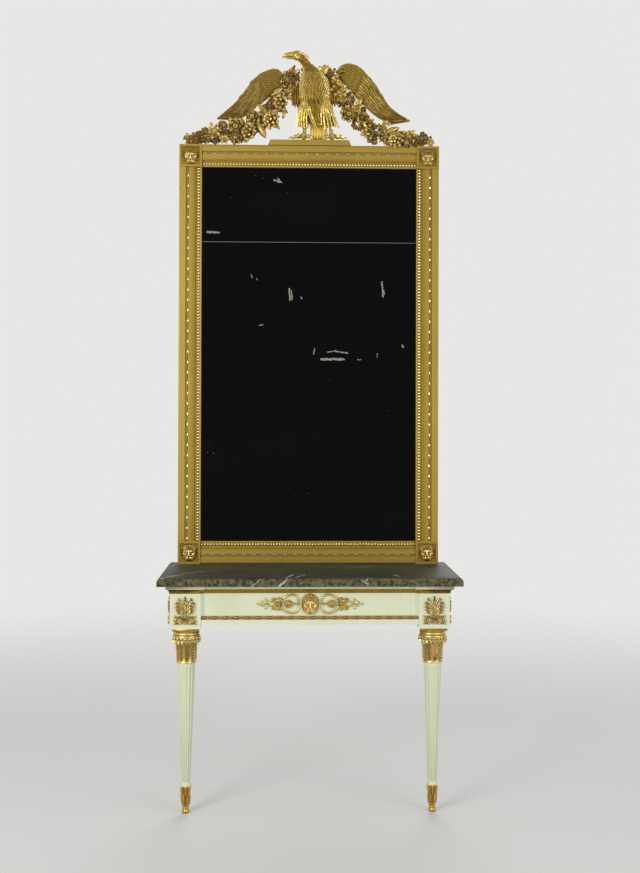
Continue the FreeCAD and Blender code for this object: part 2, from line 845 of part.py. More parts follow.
def curled_strip(x, z, heading, turn, length, wide, thick, steps=6, tip=0.15):
    """A leaf or scroll that sets out along a heading, turns by so many degrees and thins out."""
    left, right = [], []
    for step in range(steps + 1):
        share = step / steps
        way = math.radians(heading + turn * share)
        half = wide / 2 * (tip + (1 - tip) * math.sin(math.pi * (0.25 + 0.75 * share)))
        left.append((x - half * math.sin(way), z + half * math.cos(way)))
        right.append((x + half * math.sin(way), z - half * math.cos(way)))
        x += length / steps * math.cos(way)
        z += length / steps * math.sin(way)
    return slice_up(left + right[::-1], thick)


def rosette(x, z, radius, thick, petals=6):
    """A small flower with rounded-off petals, drawn in to a boss at its middle."""
    rings = []
    for share, depth in ((1.0, 0.0), (0.92, 0.55), (0.35, 1.0)):
        ring = []
        for number in range(petals * 2):
            way = math.pi * number / petals
            reach = radius * share * (1.0 if number % 2 == 0 else 0.72)
            ring.append(Vector(x + reach * math.cos(way), -thick * depth, z + reach * math.sin(way)))
        rings.append(ring)
    return faceted(rings)


def palmette_shape():
    """Leaves fanning from a stem, on a footed base with two scroll rosettes."""
    high, wide, base = float(palmette_high), float(palmette_width), float(palmette_base)
    thick = float(mount_thick)
    forms = [
        slice_up([(-base / 2, 0), (base / 2, 0), (base * 0.42, high * 0.1), (base * 0.42, high * 0.28),
                  (-base * 0.42, high * 0.28), (-base * 0.42, high * 0.1)], thick),
        slice_up([(-wide * 0.09, high * 0.2), (wide * 0.09, high * 0.2), (wide * 0.035, high * 0.86),
                  (wide * 0.06, high * 0.95), (0, high), (-wide * 0.06, high * 0.95),
                  (-wide * 0.035, high * 0.86)], thick * 1.3),
    ]
    leaves = 5
    for number in range(leaves):
        share = number / (leaves - 1)
        root = high * (0.32 + 0.3 * share)
        heading = 24 + 46 * share
        length = wide * (0.50 - 0.05 * share)
        for side in (-1, 1):
            way = heading if side > 0 else 180 - heading
            forms.append(curled_strip(side * wide * 0.02, root, way, -side * 62, length,
                                      wide * 0.12, thick, steps=3))
    for side in (-1, 1):
        forms.append(rosette(side * base * 0.24, high * 0.15, high * 0.11, thick * 1.5, 5))
    return joined(forms)


def lion_mask_shape(wide, high, deep, tufts, sides):
    """A lion's mask: a mane of tufts round a domed face with brow, muzzle and chin."""
    wide, high, deep = float(wide), float(high), float(deep)
    rings = []
    for share, depth in ((1.0, 0.0), (1.0, 0.3), (0.8, 0.55)):
        ring = []
        for number in range(tufts * 2):
            way = math.pi * number / tufts
            reach = share * (1.0 if number % 2 == 0 else 0.84)
            ring.append(Vector(wide / 2 * reach * math.cos(way), -deep * depth,
                               high / 2 * reach * math.sin(way)))
        rings.append(ring)
    mane = faceted(rings)
    face = dome(0, 0, wide * 0.31, high * 0.36, deep * 0.3, deep * 0.85, sides)
    muzzle = dome(0, -high * 0.16, wide * 0.17, high * 0.14, deep * 0.5, deep, sides)
    brow = dome(0, high * 0.12, wide * 0.2, high * 0.1, deep * 0.5, deep * 0.93, sides)
    return joined([mane, face, muzzle, brow])


def dome(x, z, half_wide, half_high, low, high, sides):
    """A rounded boss that stands out from low to high above the ground."""
    rings = []
    for share, depth in ((1.0, 0.0), (0.82, 0.6), (0.4, 1.0)):
        ring = []
        for number in range(sides):
            way = 2 * math.pi * number / sides
            ring.append(Vector(x + half_wide * share * math.cos(way), -low - (high - low) * depth,
                               z + half_high * share * math.sin(way)))
        rings.append(ring)
    return faceted(rings)


def scroll_mount_shape():
    """One wing of the middle mount: a heart of two scrolls round a rosette, then an acanthus tip."""
    reach, high, thick = float(scroll_reach), float(scroll_high), float(mount_thick)
    start = float(mask_width) * 0.42
    stem = float(scroll_stem) / 2
    forms = [
        slice_up([(start, -stem), (start + reach * 0.98, -stem), (start + reach, 0),
                  (start + reach * 0.98, stem), (start, stem)], thick),
    ]
    heart = start + reach * 0.27
    for side in (-1, 1):
        forms.append(curled_strip(start, side * high * 0.06, side * 55, -side * 150, high * 0.95,
                                  high * 0.09, thick, steps=5, tip=0.6))
        forms.append(curled_strip(start + reach * 0.5, side * high * 0.2, 180 - side * 50, side * 100,
                                  high * 0.4, high * 0.08, thick, steps=4, tip=0.6))
        forms.append(curled_strip(start + reach * 0.42, side * stem, side * 60, -side * 75, high * 0.62,
                                  high * 0.2, thick, steps=3))
        forms.append(curled_strip(start + reach * 0.66, side * stem, side * 50, -side * 60, high * 0.36,
                                  high * 0.16, thick, steps=4))
        forms.append(rosette(start + reach * 0.84, side * high * 0.15, high * 0.09, thick * 1.2, 5))
    forms.append(rosette(heart, 0, high * 0.21, thick * 1.6, 6))
    forms.append(rosette(start + reach * 0.93, 0, high * 0.09, thick * 1.2, 6))
    return joined(forms)


def make_mounts():
    """The gilt mounts: palmettes on the corner blocks, a lion mask and two scrolls on the frieze."""
    palmette = palmette_shape()
    base = block_low + palmette_lift
    for side, word in ((-1, "left"), (1, "right")):
        keep(shaped(f"palmette_front_{word}", palmette, leg_x * side, block_front, base),
             f"palmette_front_{word}")
        keep(shaped(f"palmette_side_{word}", palmette, block_outer * side, leg_y, base, 90 * side),
             f"palmette_side_{word}")
    middle = bead_top + frieze_high / 2 + mask_lift
    lion = lion_mask_shape(mask_width, mask_high, mask_deep, MASK_TUFTS, MASK_SIDES)
    keep(shaped("lion_mask", lion, 0, frieze_face, middle), "lion_mask")
    wing = scroll_mount_shape()
    doc.recompute()
    wing = wing.cut(lion)
    keep(shaped("scroll_mount_right", wing, 0, frieze_face, middle), "scroll_mount_right")
    other = wing.mirror(Vector(0, 0, 0), Vector(1, 0, 0))
    keep(shaped("scroll_mount_left", other, 0, frieze_face, middle), "scroll_mount_left")


# ---------------------------------------------------------------- mirror frame

def member_profile():
    """The moulding of the mirror frame: (width from the outer edge, depth from the block's face)."""
    groove_end = outer_flat + groove_width
    band_end = groove_end + broad_band
    pearl_start = band_end + inner_groove
    pearl_end = pearl_start + pearl_width
    return [
        (as_size(0), mirror_deep),
        (as_size(0), face_sink + edge_round, -edge_round),
        (edge_round, face_sink),
        (outer_flat, face_sink),
        (outer_flat, face_sink + groove_deep),
        (groove_end, face_sink + groove_deep),
        (groove_end, band_sink),
        (band_end - ridge_width * 2, band_sink + ridge_sink),
        (band_end - ridge_width, face_sink + ridge_sink),
        (band_end, face_sink + ridge_sink),
        (band_end, pearl_sink),
        (pearl_end, pearl_sink),
        (pearl_end, pearl_sink - sight_lip),
        (member_width - sight_ease, pearl_sink - sight_lip),
        (member_width, pearl_sink),
        (member_width, rebate_sink),
        (member_width - rebate_width, rebate_sink),
        (member_width - rebate_width, mirror_deep),
    ]


def make_stiles():
    """The two upright members, tenoned into the corner blocks and let in for the hanging plates."""
    body = new_body("stile_left_body")
    length = mirror_height - member_width * 2
    pad(body, outline(sketch_on(body, "XY_Plane"), member_profile()), length)
    core = rectangle(sketch_on(body, "XY_Plane", -frame_tenon_long), frame_tenon_edge,
                     stile_tenon_sink, frame_tenon_wide, frame_tenon_thick)
    pad(body, core, length + frame_tenon_long * 2)
    seat = rectangle(sketch_on(body, "XZ_Plane", -mirror_deep), hanger_width / 2,
                     length - hanger_high - hanger_width / 2, hanger_width + fit * 2,
                     hanger_high + fit * 2)
    pocket(body, seat, hanger_thick, backwards=True)
    place(body, -mirror_width / 2, mirror_front, mirror_low + member_width)
    keep(body, "stile_left")
    keep(mirrored("stile_right", body, Vector(1, 0, 0)), "stile_right")

    plate = new_body("hanging_plate_body")
    pad(plate, rectangle(sketch_on(plate, "XZ_Plane"), 0, 0, hanger_width, hanger_high),
        hanger_thick, backwards=True)
    eye = circle(sketch_on(plate, "XZ_Plane"), hanger_width / 2, hanger_high * 0.7, hanger_eye)
    pocket(plate, eye, hanger_thick)
    place(plate, -mirror_width / 2 + hanger_width / 2 + fit, wall - hanger_thick,
          mirror_low + member_width + length - hanger_high - hanger_width / 2 + fit)
    grouped("hanging_plates", [plate, mirrored("hanging_plate_right", plate, Vector(1, 0, 0))])


def make_frame_rails():
    """The bottom and top members."""
    body = new_body("frame_rail_bottom_body")
    length = sight_half * 2
    profile = [(corner[1], corner[0]) + tuple(-bend for bend in corner[2:])
               for corner in member_profile()]
    pad(body, outline(sketch_on(body, "YZ_Plane"), profile), length)
    core = rectangle(sketch_on(body, "YZ_Plane", -frame_tenon_long), rail_tenon_sink,
                     frame_tenon_edge, frame_tenon_thick, frame_tenon_wide)
    pad(body, core, length + frame_tenon_long * 2)
    place(body, -sight_half, mirror_front, mirror_low)
    keep(body, "frame_rail_bottom")
    keep(mirrored("frame_rail_top", body, UP, mirror_middle), "frame_rail_top")


def make_frame_blocks():
    """The four corner blocks, with a sunk square in front, two mortises and the glass rebate."""
    body = new_body("frame_block_bottom_left_body")
    pad(body, rectangle(sketch_on(body, "XZ_Plane"), 0, 0, member_width, member_width),
        mirror_deep, backwards=True)
    inner = member_width - panel_margin * 2
    pocket(body, rectangle(sketch_on(body, "XZ_Plane"), panel_margin, panel_margin, inner, inner),
           panel_sink)
    notch_start = member_width - rebate_width
    notch = rectangle(sketch_on(body, "XZ_Plane", -mirror_deep), notch_start, notch_start,
                      rebate_width, rebate_width)
    pocket(body, notch, mirror_deep - rebate_sink, backwards=True)
    upright = rectangle(sketch_on(body, "XY_Plane", member_width), frame_tenon_edge - fit,
                        stile_tenon_sink - fit, frame_tenon_wide + fit * 2,
                        frame_tenon_thick + fit * 2)
    pocket(body, upright, frame_tenon_long + fit)
    level = rectangle(sketch_on(body, "YZ_Plane", member_width), rail_tenon_sink - fit,
                      frame_tenon_edge - fit, frame_tenon_thick + fit * 2,
                      frame_tenon_wide + fit * 2)
    pocket(body, level, frame_tenon_long + fit)
    place(body, -mirror_width / 2, mirror_front, mirror_low)
    keep(body, "frame_block_bottom_left")
    right = mirrored("frame_block_bottom_right", body, Vector(1, 0, 0))
    keep(right, "frame_block_bottom_right")
    for source, word in ((body, "left"), (right, "right")):
        name = f"frame_block_top_{word}"
        keep(mirrored(name, source, UP, mirror_middle), name)


def make_frame_ornament():
    """Lion masks in the corner blocks, and the outer bead and inner pearl strings."""
    reach = float(mirror_width - member_width) / 2
    rise = float(mirror_height - member_width) / 2
    relief = lion_mask_shape(corner_mask_width, corner_mask_high, corner_mask_deep,
                             CORNER_TUFTS, CORNER_SIDES)
    floor = float(mirror_front + panel_sink)
    copies = []
    for x in (-reach, reach):
        for z in (-rise, rise):
            copy = relief.copy()
            copy.translate(Vector(x, floor, float(mirror_middle) + z))
            copies.append(copy)
    keep(shaped("corner_masks", Part.makeCompound(copies)), "corner_masks")

    strings = (
        ("outer_bead_strings", outer_flat + groove_width - bead_width / 2, bead_width,
         face_sink + groove_deep),
        ("inner_pearl_strings",
         outer_flat + groove_width + broad_band + inner_groove + pearl_width / 2,
         pearl_width - 1, pearl_sink),
    )
    for name, middle, wide, sink in strings:
        upright = half_rod(f"{name}_left", "XY_Plane", wide, mirror_height - member_width * 2)
        place(upright, -mirror_width / 2 + middle, mirror_front + sink, mirror_low + member_width)
        level = half_rod(f"{name}_bottom", "YZ_Plane", wide, sight_half * 2)
        place(level, -sight_half, mirror_front + sink, mirror_low + middle)
        grouped(name, [
            upright, mirrored(f"{name}_right", upright, Vector(1, 0, 0)),
            level, mirrored(f"{name}_top", level, UP, mirror_middle),
        ])


def half_rod(name, plane, wide, length):
    """A half-round string of beads, flat at its back, swelling towards the front."""
    body = new_body(f"{name}_body")
    half = wide / 2
    deep = half * 0.8
    swell = (half * half + deep * deep) / (deep * 2)
    if plane == "XY_Plane":
        ends = [(-half, 0, -swell), (half, 0)]
    else:
        ends = [(0, -half, swell), (0, half)]
    pad(body, outline(sketch_on(body, plane), ends), length)
    return body


def make_glass_and_back():
    """Two plates of mirror glass with a butt joint, a backboard and two battens behind them."""
    half = sight_half + rebate_width - fit
    low = mirror_low + member_width - rebate_width + fit
    top = mirror_top - member_width + rebate_width - fit
    joint = mirror_low + glass_joint
    front = mirror_front + rebate_sink
    keep(box("mirror_plate_lower", half * 2, glass_thick, joint - low, -half, front, low),
         "mirror_plate_lower")
    keep(box("mirror_plate_upper", half * 2, glass_thick, top - joint, -half, front, joint),
         "mirror_plate_upper")
    keep(box("backboard", half * 2, board_thick, top - low, -half, front + glass_thick, low),
         "backboard")
    behind = front + glass_thick + board_thick
    battens = []
    for share in (0.2, 0.8):
        battens.append(box(f"batten_{len(battens)}", half * 2, batten_thick, batten_high,
                           -half, behind, low + (top - low) * share - batten_high / 2))
    grouped("back_battens", battens)


# ---------------------------------------------------------------- crest

def make_plinth():
    """The low plinth with canted ends that carries the eagle."""
    body = new_body("crest_plinth_body")
    drawing = outline(sketch_on(body, "XZ_Plane"), [
        (0, 0), (plinth_width, 0), (plinth_width - plinth_cant, plinth_high), (plinth_cant, plinth_high)])
    pad(body, drawing, plinth_deep, backwards=True)
    place(body, -plinth_width / 2, mirror_front + face_sink, mirror_top)
    keep(body, "crest_plinth")


def make_eagle():
    """The eagle: body with neck, head and beak, thighs, tail, and two feet on the plinth."""
    high, wide, deep = float(eagle_high), float(eagle_wide), float(eagle_deep)
    axis = float(mirror_front) + float(mirror_deep) * 0.4
    foot = float(plinth_top)
    # share of the height, sideways place and half width as shares of the breast's width
    stations = [
        (0.135, 0.17, 0.10), (0.17, 0.17, 0.22), (0.25, 0.17, 0.33), (0.34, 0.165, 0.43),
        (0.43, 0.155, 0.50), (0.52, 0.15, 0.50), (0.60, 0.145, 0.46), (0.69, 0.13, 0.37),
        (0.76, 0.085, 0.27), (0.815, -0.02, 0.235), (0.86, -0.13, 0.205), (0.90, -0.25, 0.23),
        (0.94, -0.30, 0.22), (0.975, -0.33, 0.16), (1.0, -0.36, 0.05),
    ]
    sections = []
    for height, shift, half in stations:
        lean = -0.10 * deep * math.sin(math.pi * height)
        half_deep = deep * half * (0.98 if height < 0.8 else 1.05)
        sections.append(oval(wide * shift, axis + lean, foot + high * height, wide * half, half_deep))
    torso = faceted(sections)
    head_z = foot + high * 0.95
    beak_wires = []
    for share, drop, half in ((0.0, 0.0, 0.10), (0.55, 0.004, 0.062), (1.0, -0.03, 0.012)):
        x = -wide * (0.42 + 0.42 * share)
        ring = []
        for number in range(6):
            way = math.pi * number / 3
            ring.append(Vector(x, axis + wide * half * math.cos(way),
                               head_z + high * drop + wide * half * 1.1 * math.sin(way)))
        beak_wires.append(ring)
    beak = faceted(beak_wires)
    forms = [torso, beak]
    legs = []
    stance = wide * 0.4
    for side in (-1, 1):
        middle = wide * 0.245 + side * stance * 0.93
        knee = foot + float(shank_long)
        thigh = [
            oval(middle - side * wide * 0.08, axis, foot + high * 0.37, wide * 0.17, deep * 0.2, 10),
            oval(middle, axis, foot + high * 0.24, wide * 0.145, deep * 0.2, 10),
            oval(middle + side * wide * 0.01, axis, knee, wide * 0.07, deep * 0.11, 10),
        ]
        forms.append(faceted(thigh))
        radius = float(shank_radius)
        shank = faceted([
            oval(middle + side * wide * 0.01, axis, knee, radius, radius, 8),
            oval(middle + side * wide * 0.02, axis, foot + radius * 0.8, radius * 0.85, radius * 0.85, 8),
            oval(middle + side * wide * 0.02, axis, foot, radius * 1.4, radius * 1.4, 8),
        ])
        toes = [shank]
        for heading in (-150, -115, -65, -30):
            toes.append(toe(middle + side * wide * 0.02, axis, foot, heading, radius))
        legs.append(joined(toes))
    eagle = joined(forms)
    keep(shaped("eagle_body", eagle), "eagle_body")
    keep(shaped("eagle_legs", Part.makeCompound(legs)), "eagle_legs")

    feathers = []
    count = 5
    for number in range(count):
        spread = (number - (count - 1) / 2) / (count - 1)
        x = wide * 0.275
        feathers.append(tail_feather(x, spread * wide * 0.5, axis + deep * 0.2, foot,
                                     high * 0.26, wide * 0.11))
    tail = joined(feathers).cut(eagle)
    keep(shaped("eagle_tail", tail), "eagle_tail")
    return eagle


def toe(x, y, z, heading, radius):
    """One toe, thinning to its claw, flat on the plinth."""
    way = math.radians(heading)
    length = radius * 4
    rings = []
    for share, half in ((0.0, 1.0), (0.7, 0.62), (1.0, 0.12)):
        middle = Vector(x + length * share * math.cos(way), y + length * share * math.sin(way), z)
        across = Vector(-math.sin(way), math.cos(way), 0) * radius * half * 0.7
        lift = UP * radius * half * 1.3
        rings.append([middle - across, middle + across, middle + across * 0.5 + lift,
                      middle - across * 0.5 + lift])
    return faceted(rings)


def tail_feather(x, spread, y, low, length, wide):
    """One feather of the tail, from under the body down to the plinth."""
    spots = [
        Vector(x - wide / 2, y, low + length), Vector(x + wide / 2, y, low + length),
        Vector(x + spread + wide * 0.7, y, low + wide * 0.5), Vector(x + spread, y, low),
        Vector(x + spread - wide * 0.7, y, low + wide * 0.5),
    ]
    thick = float(wing_thick) + abs(spread) * 0.1
    return Part.Face(Part.makePolygon(spots + spots[:1])).extrude(FORWARD * thick)


# outlines of a wing from the shoulder, as shares of its span outwards and of its rise
ARM = [(0, 0.85), (0.06, 1), (0.23, 1), (0.34, 0.93), (0.46, 0.79), (0.55, 0.62), (0.47, 0.57),
       (0.33, 0.67), (0.18, 0.72), (0.03, 0.70)]
ROOT = [(-0.30, 0.66), (0.02, 0.84), (0.06, 0.60), (-0.26, 0.38)]


def wing_shape(side, span, rise):
    """A lifted wing: a row of long primaries and a row of coverts sweep down and out from the arm."""
    thick = float(wing_thick)
    forms = []
    for outline_shares, layer in ((ARM, 2.6), (ROOT, 1.0)):
        forms.append(slice_up([(side * u * span, v * rise) for u, v in outline_shares], thick * layer))
    # each row: feathers, share of full length, how far the roots are lifted, layer
    for count, long_share, lift, layer in ((9, 1.0, 0.0, 1.0), (8, 0.52, 0.05, 1.8)):
        for number in range(count):
            share = number / (count - 1)
            x = (0.51 - 0.48 * share) * span
            z = (0.60 + 0.18 * share + lift) * rise
            length = span * long_share * (0.24 + 0.41 * math.cos(math.pi / 2 * share ** 1.3))
            heading = -42 - 18 * share
            if side < 0:
                heading = 180 - heading
            forms.append(feather(side * x, z, heading, length, span * 0.11, thick * layer))
    return joined(forms)


def feather(x, z, heading, length, wide, thick):
    """One long feather with a rounded tip."""
    way = math.radians(heading)
    along, across = (math.cos(way), math.sin(way)), (-math.sin(way), math.cos(way))
    spots = []
    for share, half in ((0, -0.4), (0.75, -0.5), (0.94, -0.3), (1.0, 0), (0.94, 0.3), (0.75, 0.5), (0, 0.4)):
        spots.append((x + along[0] * length * share + across[0] * wide * half,
                      z + along[1] * length * share + across[1] * wide * half))
    return slice_up(spots, thick)


def make_wings(eagle):
    """Both wings, lifted from the eagle's shoulders, and cut to its back."""
    back = wall - wing_back_gap
    wings = []
    for side, word, root, low, span, rise in (
            (-1, "left", left_wing_root, left_wing_low, left_wing_span, left_wing_rise),
            (1, "right", right_wing_root, right_wing_low, right_wing_span, right_wing_rise)):
        wing = wing_shape(side, float(span), float(rise))
        wing.translate(Vector(side * float(root), float(back), float(plinth_top + low)))
        wing = wing.cut(eagle)
        keep(shaped(f"eagle_wing_{word}", wing), f"eagle_wing_{word}")
        wings.append(wing)
    return wings


def blossom(spot, radius, facing, petals):
    """A flower head: an open star of petals drawn in to its eye, facing outwards."""
    rings = []
    for share, depth in ((1.0, -0.3), (0.45, 0.55)):
        ring = []
        for number in range(petals * 2):
            way = math.pi * number / petals
            reach = radius * share * (1.0 if number % 2 == 0 else 0.78)
            ring.append(Vector(reach * math.cos(way), -radius * depth, reach * math.sin(way)))
        rings.append(ring)
    flower = faceted(rings)
    flower.Placement = FreeCAD.Placement(spot, FreeCAD.Rotation(FORWARD, facing))
    return flower


def garland_shape(route):
    """A swag of flowers round a bound core, along a route of (x, z, girth) points."""
    thick = float(garland_thick)
    floor = float(mirror_top)
    y = float(mirror_front) + float(mirror_deep) * 0.45
    core = []
    for number, (x, z, girth) in enumerate(route):
        before, after = route[max(number - 1, 0)], route[min(number + 1, len(route) - 1)]
        way = math.atan2(after[1] - before[1], after[0] - before[0])
        ring = []
        for corner in range(6):
            turn = math.pi / 3 * corner
            out = girth * 0.5 * math.cos(turn)
            height = max(floor + z + out * math.cos(way), floor)
            ring.append(Vector(x - out * math.sin(way), y + thick * 0.55 * math.sin(turn), height))
        core.append(ring)
    forms = [faceted(core)]
    for number, (x, z, girth) in enumerate(route):
        following = route[min(number + 1, len(route) - 1)]
        for place_share, swing in ((0.0, 0.42), (0.5, -0.46)):
            if number == len(route) - 1 and place_share > 0:
                continue
            mid_x = x + (following[0] - x) * place_share
            mid_z = z + (following[1] - z) * place_share
            way = math.atan2(following[1] - z, following[0] - x) if following != route[number] else 0.8
            radius = girth * 0.55
            out = girth * swing
            spot = Vector(mid_x - out * math.sin(way), y - thick * 0.35,
                          floor + max(mid_z + out * math.cos(way), radius))
            lean = Vector(-swing * 0.8 * math.sin(way), -1, swing * 0.8 * math.cos(way) + 0.15)
            forms.append(blossom(spot, radius, lean, 4 + number % 2))
    return joined(forms)


# routes of the garlands, as shares of their reach, rise and fullest girth
LEFT_SWAG = [
    (-1.0, 0.049, 0.32), (-0.909, 0.076, 0.6), (-0.797, 0.118, 0.84), (-0.675, 0.139, 0.92),
    (-0.554, 0.208, 0.96), (-0.429, 0.306, 1.0), (-0.346, 0.444, 0.96), (-0.255, 0.625, 0.84),
    (-0.199, 0.799, 0.64), (-0.134, 0.944, 0.48),
]
RIGHT_SWAG = [
    (1.0, 0.069, 0.36), (0.87, 0.069, 0.68), (0.758, 0.104, 0.84), (0.632, 0.16, 0.84),
    (0.506, 0.299, 0.84), (0.398, 0.424, 0.88), (0.307, 0.556, 0.8), (0.234, 0.743, 0.6),
    (0.156, 0.931, 0.52), (0.104, 0.993, 0.36),
]


def make_garlands(carvings):
    """The two garlands, from the ends of the frame up behind the eagle's neck."""
    reach, rise, girth = float(garland_reach), float(garland_rise), float(garland_girth)
    for word, shares in (("left", LEFT_SWAG), ("right", RIGHT_SWAG)):
        route = [(x * reach, z * rise, full * girth) for x, z, full in shares]
        swag = garland_shape(route).cut(carvings)
        keep(shaped(f"garland_{word}", swag), f"garland_{word}")


# ---------------------------------------------------------------- the whole

make_slab()
make_corner_block()
make_rear_post()
make_rails()
make_inner_timbers()
make_band_and_beads()
make_frieze_bevels()
make_cornice()
make_leg()
make_capital()
make_sabot()
make_mounts()
make_stiles()
make_frame_rails()
make_frame_blocks()
make_frame_ornament()
make_glass_and_back()
make_plinth()
eagle = make_eagle()
wings = make_wings(eagle)
make_garlands([eagle] + wings)
doc.recompute()

for item in doc.Objects:
    if "Invalid" in item.State or "Error" in item.State:
        raise ValueError(f"{item.Name} failed: {item.State}")
for piece in nodes:
    if piece.Shape.isNull() or not piece.Shape.isValid() or not piece.Shape.Solids:
        raise ValueError(f"{piece.Label} has no valid solid")

os.makedirs("parts", exist_ok=True)
triangles = 0
for piece in nodes:
    piece.Shape.exportStep(f"parts/{piece.Label}.step")
    triangles += len(piece.Shape.tessellate(0.2)[1])
print(f"{len(nodes)} pieces, about {triangles} triangles")
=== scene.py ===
import math
import random

import bmesh
import bpy
from mathutils import Matrix, Vector
from mathutils.bvhtree import BVHTree
from mathutils.geometry import interpolate_bezier


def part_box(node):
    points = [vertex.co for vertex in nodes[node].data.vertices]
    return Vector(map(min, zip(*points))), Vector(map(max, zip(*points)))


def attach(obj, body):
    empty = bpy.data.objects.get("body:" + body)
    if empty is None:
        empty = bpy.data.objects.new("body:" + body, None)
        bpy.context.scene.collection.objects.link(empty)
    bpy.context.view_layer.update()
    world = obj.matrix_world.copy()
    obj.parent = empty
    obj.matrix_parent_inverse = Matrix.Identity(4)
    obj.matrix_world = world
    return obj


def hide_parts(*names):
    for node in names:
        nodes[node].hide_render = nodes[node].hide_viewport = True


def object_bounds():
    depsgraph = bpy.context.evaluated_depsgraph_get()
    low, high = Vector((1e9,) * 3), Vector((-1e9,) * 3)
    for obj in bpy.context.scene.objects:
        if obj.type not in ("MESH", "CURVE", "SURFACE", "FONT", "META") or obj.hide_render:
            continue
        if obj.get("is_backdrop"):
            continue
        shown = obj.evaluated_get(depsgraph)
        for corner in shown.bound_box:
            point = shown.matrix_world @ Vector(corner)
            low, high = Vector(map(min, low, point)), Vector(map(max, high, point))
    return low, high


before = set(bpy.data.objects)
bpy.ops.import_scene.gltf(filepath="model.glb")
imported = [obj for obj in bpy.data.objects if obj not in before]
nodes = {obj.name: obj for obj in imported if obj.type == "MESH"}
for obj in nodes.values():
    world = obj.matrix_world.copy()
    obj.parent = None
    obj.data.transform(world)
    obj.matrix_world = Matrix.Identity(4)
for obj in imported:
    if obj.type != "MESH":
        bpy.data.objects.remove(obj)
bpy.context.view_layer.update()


# ---------------------------------------------------------------- the room
# A pale studio floor that fades into a pale surround, soft lamps to both sides,
# and the camera standing before the table at a little over the slab's height.

PALE_SURROUND = (0.80, 0.80, 0.79, 1)
FLOOR_GREY = (0.74, 0.74, 0.73, 1)
SURROUND_LIGHT = 0.46
FLOOR_REACH = 14.0
FLOOR_FADE = (1.0, 5.0)
CAMERA_PLACE = (-0.101, -4.440, 1.443)
CAMERA_TURN = -1.79
CAMERA_TILT = 0.45
CAMERA_ROLL = -0.19
CAMERA_LENS = 49.48
CAMERA_SHIFT = -0.0418


def add_node(tree, kind, sources=None, **settings):
    """A shader node: each input is given a value or another node's output."""
    node = tree.nodes.new("ShaderNode" + kind)
    for name, value in settings.items():
        setattr(node, name, value)
    for socket, source in (sources or {}).items():
        if isinstance(source, bpy.types.NodeSocket):
            tree.links.new(source, node.inputs[socket])
        else:
            node.inputs[socket].default_value = source
    return node


def calc(tree, way, first, second=0.0, held=False):
    """Two values put through one sum, and held between 0 and 1 where that is asked for."""
    return add_node(tree, "Math", {0: first, 1: second}, operation=way, use_clamp=held).outputs[0]


def calc_vectors(tree, way, first, second=(0, 0, 0), answer=0):
    """Two vectors put through one sum; a length or a product is answer 1."""
    other = 3 if way == "SCALE" else 1
    return add_node(tree, "VectorMath", {0: first, other: second}, operation=way).outputs[answer]


def object_spot(tree):
    """The place on the object itself, in metres."""
    return add_node(tree, "TexCoord").outputs["Object"]


def new_finish(name, **plain):
    """A material with its tree and shader; the plain values go on the shader's own sockets."""
    finish = bpy.data.materials.new(name)
    finish.use_nodes = True
    shader = finish.node_tree.nodes["Principled BSDF"]
    for socket, value in plain.items():
        shader.inputs[socket.replace("_", " ")].default_value = value
    return finish, finish.node_tree, shader


def wire(shader, **sources):
    """Links outputs to the shader's own sockets."""
    for socket, source in sources.items():
        shader.id_data.links.new(source, shader.inputs[socket.replace("_", " ")])


def set_lamp(name, place, aim, size, power):
    """A square soft box that looks at a point."""
    light = bpy.data.lights.new(name, "AREA")
    light.size = size
    light.energy = power
    lamp = bpy.data.objects.new(name, light)
    lamp.location = place
    lamp.rotation_euler = (Vector(aim) - Vector(place)).to_track_quat("-Z", "Y").to_euler()
    bpy.context.scene.collection.objects.link(lamp)


world = bpy.data.worlds.new("studio")
world.use_nodes = True
bpy.context.scene.world = world
sky = world.node_tree
sky.nodes.clear()
ray = add_node(sky, "LightPath").outputs
seen = calc(sky, "MAXIMUM", ray["Is Camera Ray"], ray["Is Glossy Ray"])
seen = calc(sky, "MAXIMUM", seen, ray["Is Transmission Ray"])
lit = add_node(sky, "Background", {"Color": (1, 1, 1, 1), "Strength": SURROUND_LIGHT})
shown = add_node(sky, "Background", {"Color": PALE_SURROUND, "Strength": 1.0})
either = add_node(sky, "MixShader", {0: seen, 1: lit.outputs[0], 2: shown.outputs[0]})
add_node(sky, "OutputWorld", {"Surface": either.outputs[0]})

floor_finish, tree, shader = new_finish("studio_floor", Base_Color=FLOOR_GREY, Roughness=0.7)
away = calc_vectors(tree, "LENGTH", object_spot(tree), answer=1)
fade = add_node(tree, "MapRange", {"Value": away, "From Min": FLOOR_FADE[0], "From Max": FLOOR_FADE[1],
                                   "To Min": 1.0, "To Max": 0.0}, interpolation_type="SMOOTHSTEP")
wire(shader, Alpha=fade.outputs[0])
bm = bmesh.new()
bmesh.ops.create_circle(bm, cap_ends=True, segments=64, radius=FLOOR_REACH)
mesh = bpy.data.meshes.new("studio_floor")
bm.to_mesh(mesh)
bm.free()
mesh.materials.append(floor_finish)
studio_floor = bpy.data.objects.new("studio_floor", mesh)
bpy.context.scene.collection.objects.link(studio_floor)
studio_floor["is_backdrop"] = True

set_lamp("key_lamp", (-2.7, -3.7, 2.1), (0, 0, 1.3), 1.8, 104)
set_lamp("fill_lamp", (3.0, -3.3, 1.5), (0, 0, 1.2), 2.2, 56)
set_lamp("back_lamp", (0.6, 3.6, 3.6), (0, 0, 1.5), 2.5, 56)

